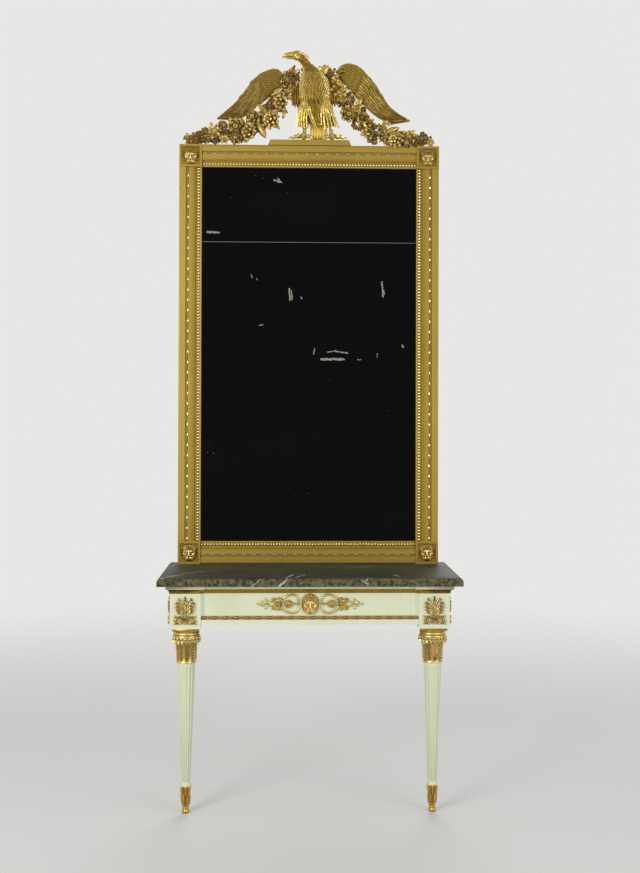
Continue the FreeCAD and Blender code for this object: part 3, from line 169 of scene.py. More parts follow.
eye = bpy.data.cameras.new("camera")
eye.lens = CAMERA_LENS
eye.shift_y = CAMERA_SHIFT
camera = bpy.data.objects.new("camera", eye)
camera.matrix_world = (
    Matrix.Translation(CAMERA_PLACE)
    @ Matrix.Rotation(math.radians(CAMERA_TURN), 4, "Z")
    @ Matrix.Rotation(math.radians(90 + CAMERA_TILT), 4, "X")
    @ Matrix.Rotation(math.radians(-CAMERA_ROLL), 4, "Z"))
bpy.context.scene.collection.objects.link(camera)
bpy.context.scene.camera = camera
bpy.context.scene.view_settings.view_transform = "Standard"


# ---------------------------------------------------------------- the frame of the table
# Pine rails, corner blocks and rear posts, jointed and glued. Everything that faces the room
# is painted a greenish white; the insides and the back, which stands to the wall, are bare.

PAINT = (0.655, 0.690, 0.490, 1)
PAINT_YELLOWED = (0.575, 0.590, 0.375, 1)
# the colour of grime and of painted shade in the paint's hollows
PAINT_GRIME_AND_SHADE = (0.200, 0.180, 0.090, 1)
PINE_PALE = (0.470, 0.320, 0.170, 1)
PINE_DARK = (0.270, 0.150, 0.065, 1)
DUST = (0.33, 0.27, 0.19, 1)
PAINT_SKIN = 0.0015
EASED = 0.0008
# how many ways are felt out from each vertex to find how deep in a hollow it lies
FEELERS = 16
FEELER_LIFT = 0.0004
# the smallest share of its way that a feeler has to go outwards, and how strongly an edge shows
FEELER_OUTWARD = 0.2
EDGE_GAIN = 2.2


def new_effect(name, given, made):
    """An empty group: its inputs with their first values, and its outputs with their kinds."""
    group = bpy.data.node_groups.new(name, "ShaderNodeTree")
    for label, value in given.items():
        kind = {3: "Vector", 4: "Color"}[len(value)] if isinstance(value, tuple) else "Float"
        socket = group.interface.new_socket(name=label, in_out="INPUT", socket_type="NodeSocket" + kind)
        socket.default_value = value
    for label, kind in made.items():
        group.interface.new_socket(name=label, in_out="OUTPUT", socket_type="NodeSocket" + kind)
    return group, group.nodes.new("NodeGroupInput").outputs, group.nodes.new("NodeGroupOutput").inputs


def put_effect(tree, group, **values):
    """A group placed in a finish with its own values: what it puts out."""
    sources = {label.replace("_", " "): value for label, value in values.items()}
    return add_node(tree, "Group", sources, node_tree=group).outputs[0]


def mixed(tree, share, first, second):
    """Two colours mixed by a share."""
    return add_node(tree, "Mix", {0: share, 6: first, 7: second}, data_type="RGBA").outputs[2]


def ranged(tree, value, low, high, to_low=0.0, to_high=1.0):
    """A value drawn from one range to another and held within it."""
    return add_node(tree, "MapRange", {"Value": value, "From Min": low, "From Max": high,
                                       "To Min": to_low, "To Max": to_high}).outputs[0]


def combined(tree, first, second, way="MULTIPLY"):
    """Two masks put through one sum."""
    return calc(tree, way, first, second, True)


def noise(tree, spot, scale, detail=3.0, answer=0, **more):
    """Soft noise; answer 1 is its colour."""
    sources = {"Vector": spot, "Scale": scale, "Detail": detail, **more}
    return add_node(tree, "TexNoise", sources).outputs[answer]


# patches: soft blotches of wear, yellowing or dust, of a given scale and share
patches, given, out = new_effect("patches", {"Scale": 10.0, "Share": 0.5, "Edge": 0.1}, {"Mask": "Float"})
cloud = noise(patches, object_spot(patches), given["Scale"], 5.0, Roughness=0.6)
start = ranged(patches, calc(patches, "SUBTRACT", 1.0, given["Share"]), 0.0, 1.0, 0.25, 0.75)
end = calc(patches, "ADD", start, given["Edge"])
patches.links.new(ranged(patches, cloud, start, end), out["Mask"])

# dirt and painted shade where the surface lies in a hollow, as deep as the share of feelers that strike the piece
hollow_dirt_and_shade, given, out = new_effect("hollow_dirt_and_shade", {"Amount": 1.0, "Scale": 60.0}, {"Mask": "Float"})
depth = add_node(hollow_dirt_and_shade, "Attribute", attribute_name="hollow").outputs["Fac"]
deep = calc(hollow_dirt_and_shade, "MULTIPLY", depth, given["Amount"])
uneven = ranged(hollow_dirt_and_shade, noise(hollow_dirt_and_shade, object_spot(hollow_dirt_and_shade), given["Scale"]), 0.3, 0.7, 0.75, 1.25)
hollow_dirt_and_shade.links.new(combined(hollow_dirt_and_shade, deep, uneven), out["Mask"])

# tooled: the fine unevenness of a brushed, sanded or chased surface
tooled, given, out = new_effect("tooled", {"Scale": 300.0, "Strength": 0.2, "Depth": 0.0004, "Stretch": 1.0},
                                {"Normal": "Vector"})
pulled = add_node(tooled, "CombineXYZ", {"X": 1.0, "Y": 1.0, "Z": given["Stretch"]}).outputs[0]
fine = noise(tooled, calc_vectors(tooled, "MULTIPLY", object_spot(tooled), pulled), given["Scale"], 4.0)
raised = add_node(tooled, "Bump", {"Strength": given["Strength"], "Distance": given["Depth"], "Height": fine})
tooled.links.new(raised.outputs[0], out["Normal"])

# grain: the yearly rings of softwood, running along one axis
grain, given, out = new_effect("grain", {"Along X": 1.0, "Along Z": 1.0, "Pale": PINE_PALE, "Dark": PINE_DARK},
                               {"Color": "Color"})
pulled = add_node(grain, "CombineXYZ", {"X": given["Along X"], "Y": 1.0, "Z": given["Along Z"]}).outputs[0]
spot = calc_vectors(grain, "MULTIPLY", object_spot(grain), pulled)
rings = calc(grain, "MULTIPLY", noise(grain, spot, 26.0, 2.0, Distortion=0.6), 60.0)
rings = ranged(grain, calc(grain, "SINE", rings), -1.0, 1.0)
grain.links.new(mixed(grain, rings, given["Pale"], given["Dark"]), out["Color"])


def painted_wood():
    """White paint outside and bare pine inside the frame."""
    finish, tree, shader = new_finish("white_paint", Specular_IOR_Level=0.4)
    yellowed = put_effect(tree, patches, Scale=5.0, Share=0.45, Edge=0.35)
    # the hollows of the paint darken with grime and with painted shade
    grime_and_shade = put_effect(tree, hollow_dirt_and_shade, Amount=0.55, Scale=90.0)
    rubbed = combined(tree, put_effect(tree, patches, Scale=38.0, Share=0.16, Edge=0.06), 0.35)
    colour = mixed(tree, yellowed, PAINT, PAINT_YELLOWED)
    colour = mixed(tree, rubbed, colour, PAINT_YELLOWED)
    colour = mixed(tree, grime_and_shade, colour, PAINT_GRIME_AND_SHADE)
    place = add_node(tree, "SeparateXYZ", {0: object_spot(tree)}).outputs
    rail_low, front_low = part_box("left_rail")[0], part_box("front_rail")[0]
    within = calc(tree, "LESS_THAN", calc(tree, "ABSOLUTE", place["X"]), -rail_low.x - PAINT_SKIN)
    behind = calc(tree, "GREATER_THAN", place["Y"], front_low.y + PAINT_SKIN)
    above = calc(tree, "GREATER_THAN", place["Z"], rail_low.z - PAINT_SKIN)
    bare = combined(tree, combined(tree, within, behind), above)
    wire(shader, Base_Color=mixed(tree, bare, colour, put_effect(tree, grain, Along_X=0.12)),
         Roughness=ranged(tree, bare, 0.0, 1.0, 0.38, 0.75),
         Normal=put_effect(tree, tooled, Scale=220.0, Strength=0.18, Stretch=0.15))
    return finish


def bare_wood(name, along_x, along_z, pale=PINE_PALE, dark=PINE_DARK):
    """Old planed pine, dusty in patches, its grain along one axis."""
    finish, tree, shader = new_finish(name, Roughness=0.72, Specular_IOR_Level=0.25)
    wood = put_effect(tree, grain, Along_X=along_x, Along_Z=along_z, Pale=pale, Dark=dark)
    dust = combined(tree, put_effect(tree, patches, Scale=7.0, Share=0.4, Edge=0.3), 0.4)
    wire(shader, Base_Color=mixed(tree, dust, wood, DUST),
         Normal=put_effect(tree, tooled, Scale=120.0, Strength=0.25))
    return finish


def mark_relief(bm, reach):
    """Stores at each vertex how far it lies in a hollow and how far it stands out as an edge."""
    # the hollow share darkens finishes as dirt and as painted shade
    hollow = bm.verts.layers.float.new("hollow")
    # the proud share pales gilding as burnish and as a painted highlight
    proud = bm.verts.layers.float.new("proud")
    ways = []
    for number in range(FEELERS):
        height = 1 - (2 * number + 1) / FEELERS
        turn = number * math.pi * (3 - math.sqrt(5))
        flat = math.sqrt(1 - height * height)
        ways.append(Vector((flat * math.cos(turn), flat * math.sin(turn), height)))
    tree = BVHTree.FromBMesh(bm)
    for vert in bm.verts:
        normal = vert.normal
        start = vert.co + normal * FEELER_LIFT
        tried, struck, bend = 0, 0, 0.0
        for way in ways:
            if way.dot(normal) > FEELER_OUTWARD:
                tried += 1
                struck += tree.ray_cast(start, way, reach)[0] is not None
        for edge in vert.link_edges:
            out = edge.other_vert(vert).co - vert.co
            bend += normal.dot(out) / max(out.length, 1e-6)
        vert[hollow] = struck / max(tried, 1)
        vert[proud] = min(max(-bend / max(len(vert.link_edges), 1) * EDGE_GAIN, 0.0), 1.0)


def set_piece(name, bm, finish, body, stands_for=(), crease=38, reach=0.0):
    """A finished mesh: normals outwards, soft shading between creases, on its body."""
    bmesh.ops.recalc_face_normals(bm, faces=bm.faces)
    bm.normal_update()
    for face in bm.faces:
        face.smooth = True
    limit = math.radians(crease)
    for edge in bm.edges:
        if len(edge.link_faces) == 2 and edge.calc_face_angle(0) > limit:
            edge.smooth = False
    if reach:
        mark_relief(bm, reach)
    mesh = bpy.data.meshes.new(name)
    bm.to_mesh(mesh)
    bm.free()
    for each in finish if isinstance(finish, tuple) else (finish,):
        mesh.materials.append(each)
    piece = bpy.data.objects.new(name, mesh)
    bpy.context.scene.collection.objects.link(piece)
    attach(piece, body)
    if stands_for:
        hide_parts(*stands_for)
    return piece


def ease(node, finish, body="table", eased=EASED, reach=0.0):
    """A plain piece with its faces merged and its arrises eased, as a plane or sandpaper leaves them."""
    bm = bmesh.new()
    bm.from_mesh(nodes[node].data)
    bmesh.ops.remove_doubles(bm, verts=bm.verts, dist=1e-6)
    bmesh.ops.dissolve_limit(bm, angle_limit=math.radians(0.5), verts=bm.verts, edges=bm.edges)
    sharp = [edge for edge in bm.edges
             if len(edge.link_faces) == 2 and edge.calc_face_angle(0) > math.radians(50)]
    bmesh.ops.bevel(bm, geom=sharp, offset=eased, offset_type="OFFSET", affect="EDGES", segments=2,
                    profile=0.5, material=-1, clamp_overlap=True)
    piece = set_piece(node + "_dressed", bm, finish, body, (node,), 38, reach)
    flatten = piece.modifiers.new("level_faces", "WEIGHTED_NORMAL")
    flatten.keep_sharp = True
    return piece


def refinish(node, finish):
    """A solid that keeps its shape and gets a finish."""
    nodes[node].data.materials.clear()
    nodes[node].data.materials.append(finish)


white_paint = painted_wood()
pine_level = bare_wood("pine_level", 0.12, 1.0)
pine_upright = bare_wood("pine_upright", 1.0, 0.12)

for node in ("front_rail", "left_rail", "right_rail", "corner_block_left", "corner_block_right",
             "rear_post_left", "rear_post_right"):
    ease(node, white_paint)
for node, finish in (("back_rail", pine_level), ("centre_bearer", pine_level), ("glue_blocks", pine_upright)):
    refinish(node, finish)
for node in ("lower_bands", "frieze_bevels", "cornice_fillet"):
    ease(node, white_paint, eased=EASED / 2)


# ---------------------------------------------------------------- gilt cornice
# A cavetto of carved and gilded pine under the white fillet that carries the slab, on the
# front and both sides; gold leaf on reddish bole, browned in its hollows with dirt and painted shade.

LEAF_PALE = (0.640, 0.480, 0.150)
# the bole where gold is rubbed off, and also the colour of dirt and painted shade in the hollows
BOLE_AND_SHADE_BROWN = (0.150, 0.062, 0.022)


def gilded(name, gold, worn, pale=LEAF_PALE, hollow=BOLE_AND_SHADE_BROWN, dirt_and_shade=0.9, patch=14.0, share=0.5,
           chased=0.35, gloss=(0.26, 0.44), metal=1.0, coarse=240.0):
    """Gold leaf or gilt bronze: toned in patches, pale where it stands proud as burnish and a painted highlight,
    brown in hollows as dirt and painted shade.
    """
    finish, tree, shader = new_finish(name)
    gold, worn, pale, hollow = ((*tone, 1) for tone in (gold, worn, pale, hollow))
    tone = put_effect(tree, patches, Scale=patch, Share=share, Edge=0.4)
    brown = put_effect(tree, hollow_dirt_and_shade, Amount=dirt_and_shade, Scale=70.0)
    proud = add_node(tree, "Attribute", attribute_name="proud").outputs["Fac"]
    bole = combined(tree, put_effect(tree, patches, Scale=55.0, Share=0.2, Edge=0.05), 0.3)
    colour = mixed(tree, tone, gold, worn)
    # pale over raised parts is burnish and a painted highlight; the hollow colour is real bole in the patches and
    # dirt with painted shade in the hollows
    for mask, over in ((proud, pale), (bole, hollow), (brown, hollow)):
        colour = mixed(tree, mask, colour, over)
    cloud = put_effect(tree, patches, Scale=90.0, Share=0.5, Edge=0.5)
    rough = combined(tree, ranged(tree, cloud, 0.0, 1.0, *gloss), combined(tree, brown, 0.4), "ADD")
    wire(shader, Base_Color=colour, Roughness=rough,
         Metallic=ranged(tree, brown, 0.0, 1.0, metal, metal * 0.3),
         Normal=put_effect(tree, tooled, Scale=coarse, Strength=chased, Depth=0.0005))
    return finish


cornice_gold = gilded("cornice_gold", gold=(0.38, 0.225, 0.030), worn=(0.27, 0.150, 0.020), dirt_and_shade=0.6)
ease("cornice_cavetto", cornice_gold, eased=EASED / 2)


# ---------------------------------------------------------------- frieze bead and reel
# A strip of long olives between groups of small discs, carved in one with its flat back,
# gilded on a reddish ground and pinned along the foot of the frieze on three sides.

# length, width and depth of the long olive and of a disc, before the back is cut flat
OLIVE = (0.021, 0.0124, 0.0124)
DISC = (0.0032, 0.0092, 0.0092)
DISCS = 4
DISC_PITCH = 0.0040
DISC_GAP = 0.0012
STRIP_BACK = 0.0012


def unit_mesh(bm):
    """A small shape kept as a mesh, to be repeated."""
    bmesh.ops.recalc_face_normals(bm, faces=bm.faces)
    mesh = bpy.data.meshes.new("unit")
    bm.to_mesh(mesh)
    bm.free()
    return mesh


def repeat(bm, unit, place):
    """One more copy of a unit, put at its place."""
    copy = unit.copy()
    copy.transform(place)
    bm.from_mesh(copy)
    bpy.data.meshes.remove(copy)


def join(bm, part):
    """Adds a small shape that was made by itself."""
    mesh = bpy.data.meshes.new("part")
    part.to_mesh(mesh)
    part.free()
    bm.from_mesh(mesh)
    bpy.data.meshes.remove(mesh)


def add_ball(bm, place, long, wide, deep, sides=8, rings=6):
    """A rounded bead or lobe at a point or place, its length along its own X axis."""
    if not isinstance(place, Matrix):
        place = Matrix.Translation(place)
    size = Matrix.Diagonal((long, wide, deep, 1))
    turn = Matrix.Rotation(math.pi / 2, 4, "Y")
    part = bmesh.new()
    bmesh.ops.create_uvsphere(part, u_segments=sides, v_segments=rings, radius=0.5, matrix=place @ size @ turn)
    join(bm, part)


def cut_flat(bm, depth=0.0):
    """Takes away what lies behind the flat back of an ornament, and closes the back."""
    shape = bm.verts[:] + bm.edges[:] + bm.faces[:]
    bmesh.ops.bisect_plane(bm, geom=shape, plane_co=(0, depth, 0), plane_no=(0, 1, 0), clear_outer=True)
    rim = [edge for edge in bm.edges if edge.is_boundary]
    bmesh.ops.holes_fill(bm, edges=rim, sides=0)


def bead_and_discs(bead, disc, count, pitch, gap, sides, ground=0):
    """One long bead and its group of discs, flat at the back, running along X."""
    bm = bmesh.new()
    add_ball(bm, (bead[0] / 2, 0, 0), *bead, sides, 8)
    for face in bm.faces:
        face.material_index = ground
    for number in range(count):
        add_ball(bm, (bead[0] + gap + (number + 0.5) * pitch, 0, 0), *disc, sides, 4)
    cut_flat(bm)
    return unit_mesh(bm)


def string_along(bm, unit, start, way, front, length, pitch):
    """A run of units from a start along a way, spaced so that a whole number fits the length."""
    count = max(round(length / pitch), 1)
    stretch = length / (count * pitch)
    side = Vector(way)
    back = -Vector(front)
    turn = Matrix((side, back, side.cross(back))).transposed().to_4x4()
    for number in range(count):
        spot = Vector(start) + side * (number * pitch * stretch)
        repeat(bm, unit, Matrix.Translation(spot) @ turn @ Matrix.Diagonal((stretch, 1, 1, 1)))


def add_slip(bm, low, high):
    """A plain slip of wood between two corners, in the second finish."""
    low, high = Vector(low), Vector(high)
    place = Matrix.Translation((low + high) / 2) @ Matrix.Diagonal((*(high - low), 1))
    part = bmesh.new()
    bmesh.ops.create_cube(part, size=1, matrix=place)
    for face in part.faces:
        face.material_index = 1
    join(bm, part)


strip_gold = gilded("strip_gold", gold=(0.44, 0.32, 0.095), worn=(0.26, 0.165, 0.045),
                    pale=(0.92, 0.84, 0.54), patch=45.0, dirt_and_shade=0.8)
strip_bole = gilded("strip_bole", gold=(0.140, 0.052, 0.017), worn=(0.22, 0.11, 0.028), share=0.3,
                    pale=(0.46, 0.29, 0.10), patch=60.0, dirt_and_shade=0.8, gloss=(0.36, 0.50), metal=0.6)
olive_unit = bead_and_discs(OLIVE, DISC, DISCS, DISC_PITCH, DISC_GAP, 10, ground=1)
olive_pitch = OLIVE[0] + DISCS * DISC_PITCH + DISC_GAP
strip_low, strip_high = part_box("frieze_bead_strips")
block_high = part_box("corner_block_left")[1]
block_back = block_high.y
rail_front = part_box("front_rail")[0].y
level = (strip_low.z + strip_high.z) / 2
front = rail_front - STRIP_BACK
bm = bmesh.new()
string_along(bm, olive_unit, (block_high.x, front, level), (1, 0, 0), (0, -1, 0), -block_high.x * 2, olive_pitch)
add_slip(bm, (block_high.x, front, strip_low.z), (-block_high.x, rail_front, strip_high.z))
for side in (-1, 1):
    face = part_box("left_rail")[0].x * -side
    out = face + side * STRIP_BACK
    start = (out, block_back if side > 0 else strip_high.y, level)
    string_along(bm, olive_unit, start, (0, side, 0), (side, 0, 0), strip_high.y - block_back, olive_pitch)
    add_slip(bm, (min(face, out), block_back, strip_low.z), (max(face, out), strip_high.y, strip_high.z))
set_piece("frieze_bead_and_reel", bm, (strip_gold, strip_bole), "table", ("frieze_bead_strips",),
          reach=0.006)


# ---------------------------------------------------------------- fluted legs
# Two turned and tapered pine legs with fourteen round-ended flutes, dowelled into the corner
# blocks and painted white, with a scalloped collar cut just above the gilt shoe.

FLUTES = 14
FLUTE_SHARE = 0.74
FLUTE_DEEP = 0.0034
LEG_ROWS = 34
PER_FLUTE = 10
SCALLOPS = 8
SCALLOP_DEEP = 0.0045
SCALLOP_LIFT = 0.0015
FOOT_HALF = 0.0170
COLLAR_HALF = 0.0192
COLLAR_HIGH = 0.012
# plain gap below and above the flutes, and the stretch at each end where the rows lie closer
FLUTE_GAPS = (0.004, 0.012)
CLOSE_ROWS = (0.030, 0.040)
CLOSE_SHARE = 0.2


def add_turned(bm, profile, spot, steps=48):
    """A turned shape: (radius, height) pairs spun round an upright axis."""
    first = len(bm.verts)
    spot = Vector(spot)
    line = [bm.verts.new(spot + Vector((radius, 0, height))) for radius, height in profile]
    edges = [bm.edges.new(pair) for pair in zip(line, line[1:])]
    bmesh.ops.spin(bm, geom=line + edges, cent=spot, axis=(0, 0, 1), angle=2 * math.pi, steps=steps,
                   use_merge=True)
    bm.verts.ensure_lookup_table()
    made = bm.verts[first:]
    bmesh.ops.remove_doubles(bm, verts=made, dist=1e-6)
    bm.verts.ensure_lookup_table()
    return bm.verts[first:]


def flute_cut(turn, low_gap, high_gap, radius):
    """How deep a flute is cut at a turn round the leg and at its distances from both ends."""
    pitch = 2 * math.pi / FLUTES
    off = abs((turn + pitch / 2) % pitch - pitch / 2)
    half = pitch / 2 * FLUTE_SHARE
    end_round = half * radius
    near = min(low_gap, high_gap)
    if near <= 0:
        return 0.0
    if near < end_round:
        half *= math.sqrt(1 - (1 - near / end_round) ** 2)
    return FLUTE_DEEP * max(0.0, 1 - (off / half) ** 2) if half > 0 else 0.0


def make_leg(word):
    """One leg: turned, fluted and with its collar scalloped over the shoe."""
    low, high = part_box(f"leg_{word}")
    cap_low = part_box("capitals")[0].z
    shoe_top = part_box("sabots")[1].z
    axis = Vector(((low.x + high.x) / 2, (low.y + high.y) / 2, 0))
    top_half = (high.x - low.x) / 2
    start = shoe_top + COLLAR_HIGH
    bm = bmesh.new()
    profile = [(radius, shoe_top + up) for radius, up in (
        (0, -0.001), (FOOT_HALF - 0.003, -0.001), (COLLAR_HALF - 0.0006, -0.0008), (COLLAR_HALF, 0.0005),
        (COLLAR_HALF - 0.0005, 0.004), (FOOT_HALF + 0.0007, 0.009))]
    flute_low, flute_high = start + FLUTE_GAPS[0], cap_low - FLUTE_GAPS[1]
    for number in range(LEG_ROWS + 1):
        share = number / LEG_ROWS
        if share < CLOSE_SHARE:
            height = start + share / CLOSE_SHARE * CLOSE_ROWS[0]
        elif share > 1 - CLOSE_SHARE:
            height = cap_low - (1 - share) / CLOSE_SHARE * CLOSE_ROWS[1]
        else:
            height = start + CLOSE_ROWS[0] + (share - CLOSE_SHARE) / (1 - 2 * CLOSE_SHARE) * (
                cap_low - sum(CLOSE_ROWS) - start)
        along = (height - start) / (cap_low - start)
        profile.append((FOOT_HALF + (top_half - FOOT_HALF) * along, height))
    profile.append((0, cap_low + 0.001))
    for vert in add_turned(bm, profile, axis, FLUTES * PER_FLUTE):
        out = vert.co - axis
        flat = Vector((out.x, out.y, 0))
        radius = flat.length
        turn = math.atan2(out.y, out.x)
        if radius < 1e-5:
            continue
        if out.z >= start:
            vert.co -= flat.normalized() * flute_cut(turn, out.z - flute_low, flute_high - out.z, radius)
        elif out.z < shoe_top + 0.001 and radius > FOOT_HALF:
            vert.co.z -= SCALLOP_DEEP * abs(math.cos(turn * SCALLOPS / 2)) - SCALLOP_LIFT
    set_piece(f"fluted_leg_{word}", bm, white_paint, "table", (f"leg_{word}",), 50, 0.010)


for word in ("left", "right"):
    make_leg(word)


# ---------------------------------------------------------------- gilt capitals
# Turned and carved limewood, gilded: a square abacus, a ring, a swelling with a row of small
# beads over hooked leaves, and a hollow neck close set with slanting leaves to each side of
# upright stems. The carving and gold are lost in one patch of the right-hand neck.

BEADS = 20
SPRIGS = 9
SPRIG_PAIRS = 6
SPRIG_STEP = 0.0098
NECK_FOOT = 0.0317
NECK_HEAD = 0.0352
# the turned shape of the capital: radius and height
CAPITAL_TURNING = (
    (0, 0.0005), (0.0345, 0.0005), (0.0356, 0.0025), (0.0345, 0.0070), (0.0330, 0.010), (NECK_FOOT, 0.012),
    (0.0319, 0.025), (0.0323, 0.040), (0.0331, 0.056), (0.0345, 0.068), (0.0390, 0.0725), (0.0450, 0.0760),
    (0.0486, 0.0800), (0.0496, 0.0850), (0.0462, 0.0875), (0.0460, 0.0955), (0.0484, 0.0970), (0.0478, 0.0990),
    (0.0440, 0.1010), (0.0438, 0.1030), (0.0462, 0.1045), (0.0478, 0.1070), (0.0472, 0.1095), (0.0452, 0.1120),
    (0.0430, 0.1140), (0.0430, 0.1175), (0, 0.1175))
# the square abacus from the top down: depth below the head and half width
ABACUS = ((0.0005, 0.0466), (0.0015, 0.0474), (0.0085, 0.0474), (0.0100, 0.0462))
# the beads and the hooked leaves on the swelling, and the plain rings: radius and height
BEAD_RING = (0.0482, 0.0915)
HOOK_RING = (0.0500, 0.0850)
PLAIN_RINGS = ((0.0348, 0.0035), (0.0368, 0.0705))
# middle across, half width, middle height and half height of the bare patch
BARE_PATCH = (-0.0010, 0.0115, 0.046, 0.021)
FRONT = (0, -1, 0)


def turns(count, first=0.0):
    """Even turns round a circle, from a first share of a step."""
    return [2 * math.pi * (number + first) / count for number in range(count)]


def facing(spot, along, front):
    """A place whose Y axis runs along one way and whose Z axis looks to the front."""
    along = Vector(along).normalized()
    side = along.cross(Vector(front)).normalized()
    return Matrix.Translation(spot) @ Matrix((side, along, side.cross(along))).transposed().to_4x4()


def add_leaf(bm, place, long, wide, thick, curl=0.0, cup=0.0, rib=0.0, taper=0.4, sides=8, rings=7):
    """A carved leaf or petal: flat, drawn to a tip, curled over its length, with a raised rib."""
    part = bmesh.new()
    upright = Matrix.Rotation(-math.pi / 2, 4, "X")
    made = bmesh.ops.create_uvsphere(part, u_segments=sides, v_segments=rings, radius=0.5, matrix=upright)["verts"]
    for vert in made:
        x, y, z = vert.co
        share = y + 0.5
        x *= 1 - taper * share * share
        lift = curl * share * share * long + cup * wide * 4 * x * x
        if z > 0:
            lift += rib * thick * max(0.0, 1 - abs(x) * 5)
        vert.co = (x * wide, share * long, z * thick + lift)
    bmesh.ops.transform(part, matrix=place, verts=made)
    join(bm, part)


def add_drawn(bm, places, sides=8):
    """A rod or swelling stem: an oval face drawn through a row of places, closed at both ends."""
    part = bmesh.new()
    made = bmesh.ops.create_circle(part, cap_ends=True, segments=sides, radius=1, matrix=places[0])["verts"]
    cap = made[0].link_faces[0]
    for before, after in zip(places, places[1:]):
        drawn = bmesh.ops.extrude_face_region(part, geom=[cap])["geom"]
        cap = next(face for face in drawn if isinstance(face, bmesh.types.BMFace))
        bmesh.ops.transform(part, matrix=after @ before.inverted(), verts=cap.verts[:])
    join(bm, part)


def draw_along(bm, points, widths, depths, front=FRONT, sides=8):
    """An oval drawn along a line; its half widths across and its half depths towards the front
    are one number or one for each point."""
    places = []
    last = len(points) - 1
    widths, depths = ([size] * (last + 1) if isinstance(size, float) else size for size in (widths, depths))
    for number, point in enumerate(points):
        along = (points[min(number + 1, last)] - points[max(number - 1, 0)]).normalized()
        side = along.cross(Vector(front)).normalized()
        up = side.cross(along)
        turn = Matrix((side * widths[number], up * depths[number], along)).transposed().to_4x4()
        places.append(Matrix.Translation(point) @ turn)
    add_drawn(bm, places, sides)


def smooth_line(corners, steps=5):
    """Points on a smooth line through its corners."""
    corners = [Vector(corner) for corner in corners]
    last = len(corners) - 1
    points = []
    for number in range(last):
        before, here, after, beyond = (corners[min(max(number + step, 0), last)] for step in (-1, 0, 1, 2))
        points += interpolate_bezier(here, here + (after - before) / 6, after - (beyond - here) / 6,
                                     after, steps + 1)[:-1]
    return points + [corners[-1]]


def add_stem(bm, corners, half_wide, half_deep, front=FRONT, tip=0.35, steps=5, sides=8):
    """A carved stem or strap along a smooth line, thinner towards both ends by a share."""
    points = smooth_line(corners, steps)
    last = len(points) - 1
    swell = [tip + (1 - tip) * math.sin(math.pi * min(max(number / last, 0.04), 0.96)) ** 0.5
             for number in range(last + 1)]
    draw_along(bm, points, [half_wide * size for size in swell], [half_deep * size for size in swell], front, sides)


def round_about(axis, turn, radius, height):
    """A point and its outward way at a turn round an upright axis."""
    out = Vector((math.cos(turn), math.sin(turn), 0))
    return Vector((axis.x, axis.y, height)) + out * radius, out


def is_bare(word, spot, height):
    """Whether a place on the right-hand capital's neck has lost its carving and gold."""
    return (word == "right" and spot.y < 0 and abs(spot.x - BARE_PATCH[0]) < BARE_PATCH[1]
            and abs(height - BARE_PATCH[2]) < BARE_PATCH[3])


def make_capital(word):
    """One capital, carved in the round."""
    low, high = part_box(f"leg_{word}")
    axis = (low + high) / 2
    foot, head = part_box("capitals")[0].z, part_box("capitals")[1].z
    bm = bmesh.new()
    add_turned(bm, [(radius, foot + up) for radius, up in CAPITAL_TURNING], (axis.x, axis.y, 0), 56)
    square = [Matrix.Translation((axis.x, axis.y, head - down)) @ Matrix.Rotation(math.pi / 4, 4, "Z")
              @ Matrix.Diagonal((half * math.sqrt(2), half * math.sqrt(2), 1, 1)) for down, half in ABACUS]
    add_drawn(bm, square, 4)
    for turn in turns(BEADS):
        spot, out = round_about(axis, turn, BEAD_RING[0], foot + BEAD_RING[1])
        add_ball(bm, spot, 0.0078, 0.0078, 0.0078)
        # the hooked leaf under each bead
        spot, out = round_about(axis, turn, HOOK_RING[0], foot + HOOK_RING[1])
        sway = Vector((-out.y, out.x, 0)) * 0.55
        add_leaf(bm, facing(spot, Vector((0, 0, -1)) - out * 0.55 + sway, out), 0.0160, 0.0092, 0.0044,
                 0.05, 0.1, 0.7, 0.4)
    for turn in turns(SPRIGS):
        start, out = round_about(axis, turn, NECK_FOOT - 0.0002, foot + 0.010)
        middle = round_about(axis, turn, 0.0336, foot + 0.040)[0]
        end = round_about(axis, turn, 0.0358, foot + 0.069)[0]
        add_stem(bm, (start, middle, end), 0.0009, 0.0014, out, 0.8)
        for pair in range(SPRIG_PAIRS):
            height = 0.009 + SPRIG_STEP * pair
            radius = NECK_FOOT - 0.0002 + (NECK_HEAD - NECK_FOOT) * (pair / SPRIG_PAIRS) ** 2 + 0.0006
            for side in (-1, 1):
                spot, out = round_about(axis, turn, radius, foot + height)
                if is_bare(word, spot - axis, height + 0.006):
                    continue
                across = Vector((-out.y, out.x, 0)) * side
                lean = across * 0.85 + Vector((0, 0, 1)) + out * 0.02
                add_leaf(bm, facing(spot, lean, out), 0.0150, 0.0054, 0.0066, 0.0, 0.0, 0.3, 0.2)
    for radius, height in PLAIN_RINGS:
        ring = [round_about(axis, turn, radius, foot + height)[0] for turn in turns(32) + [2 * math.pi]]
        draw_along(bm, ring, 0.0016, 0.0014, (0, 0, 1), 6)
    # the abacus faces take a brighter gold painted against the shade under the corner block; the bare patch takes the
    # bole
    for face in bm.faces:
        spot = face.calc_center_median()
        face.material_index = 2 if is_bare(word, spot - axis, spot.z - foot) else spot.z > head - 0.0103
    set_piece(f"capital_{word}", bm, (carved_gold, abacus_gold_painted_light, bare_bole), "table", ("capitals",),
              reach=0.0045)


carved_gold = gilded("carved_gold", gold=(0.56, 0.415, 0.095), worn=(0.45, 0.32, 0.065),
                     pale=(0.92, 0.78, 0.38), hollow=(0.120, 0.060, 0.015), dirt_and_shade=1.2, gloss=(0.32, 0.46), metal=0.9)
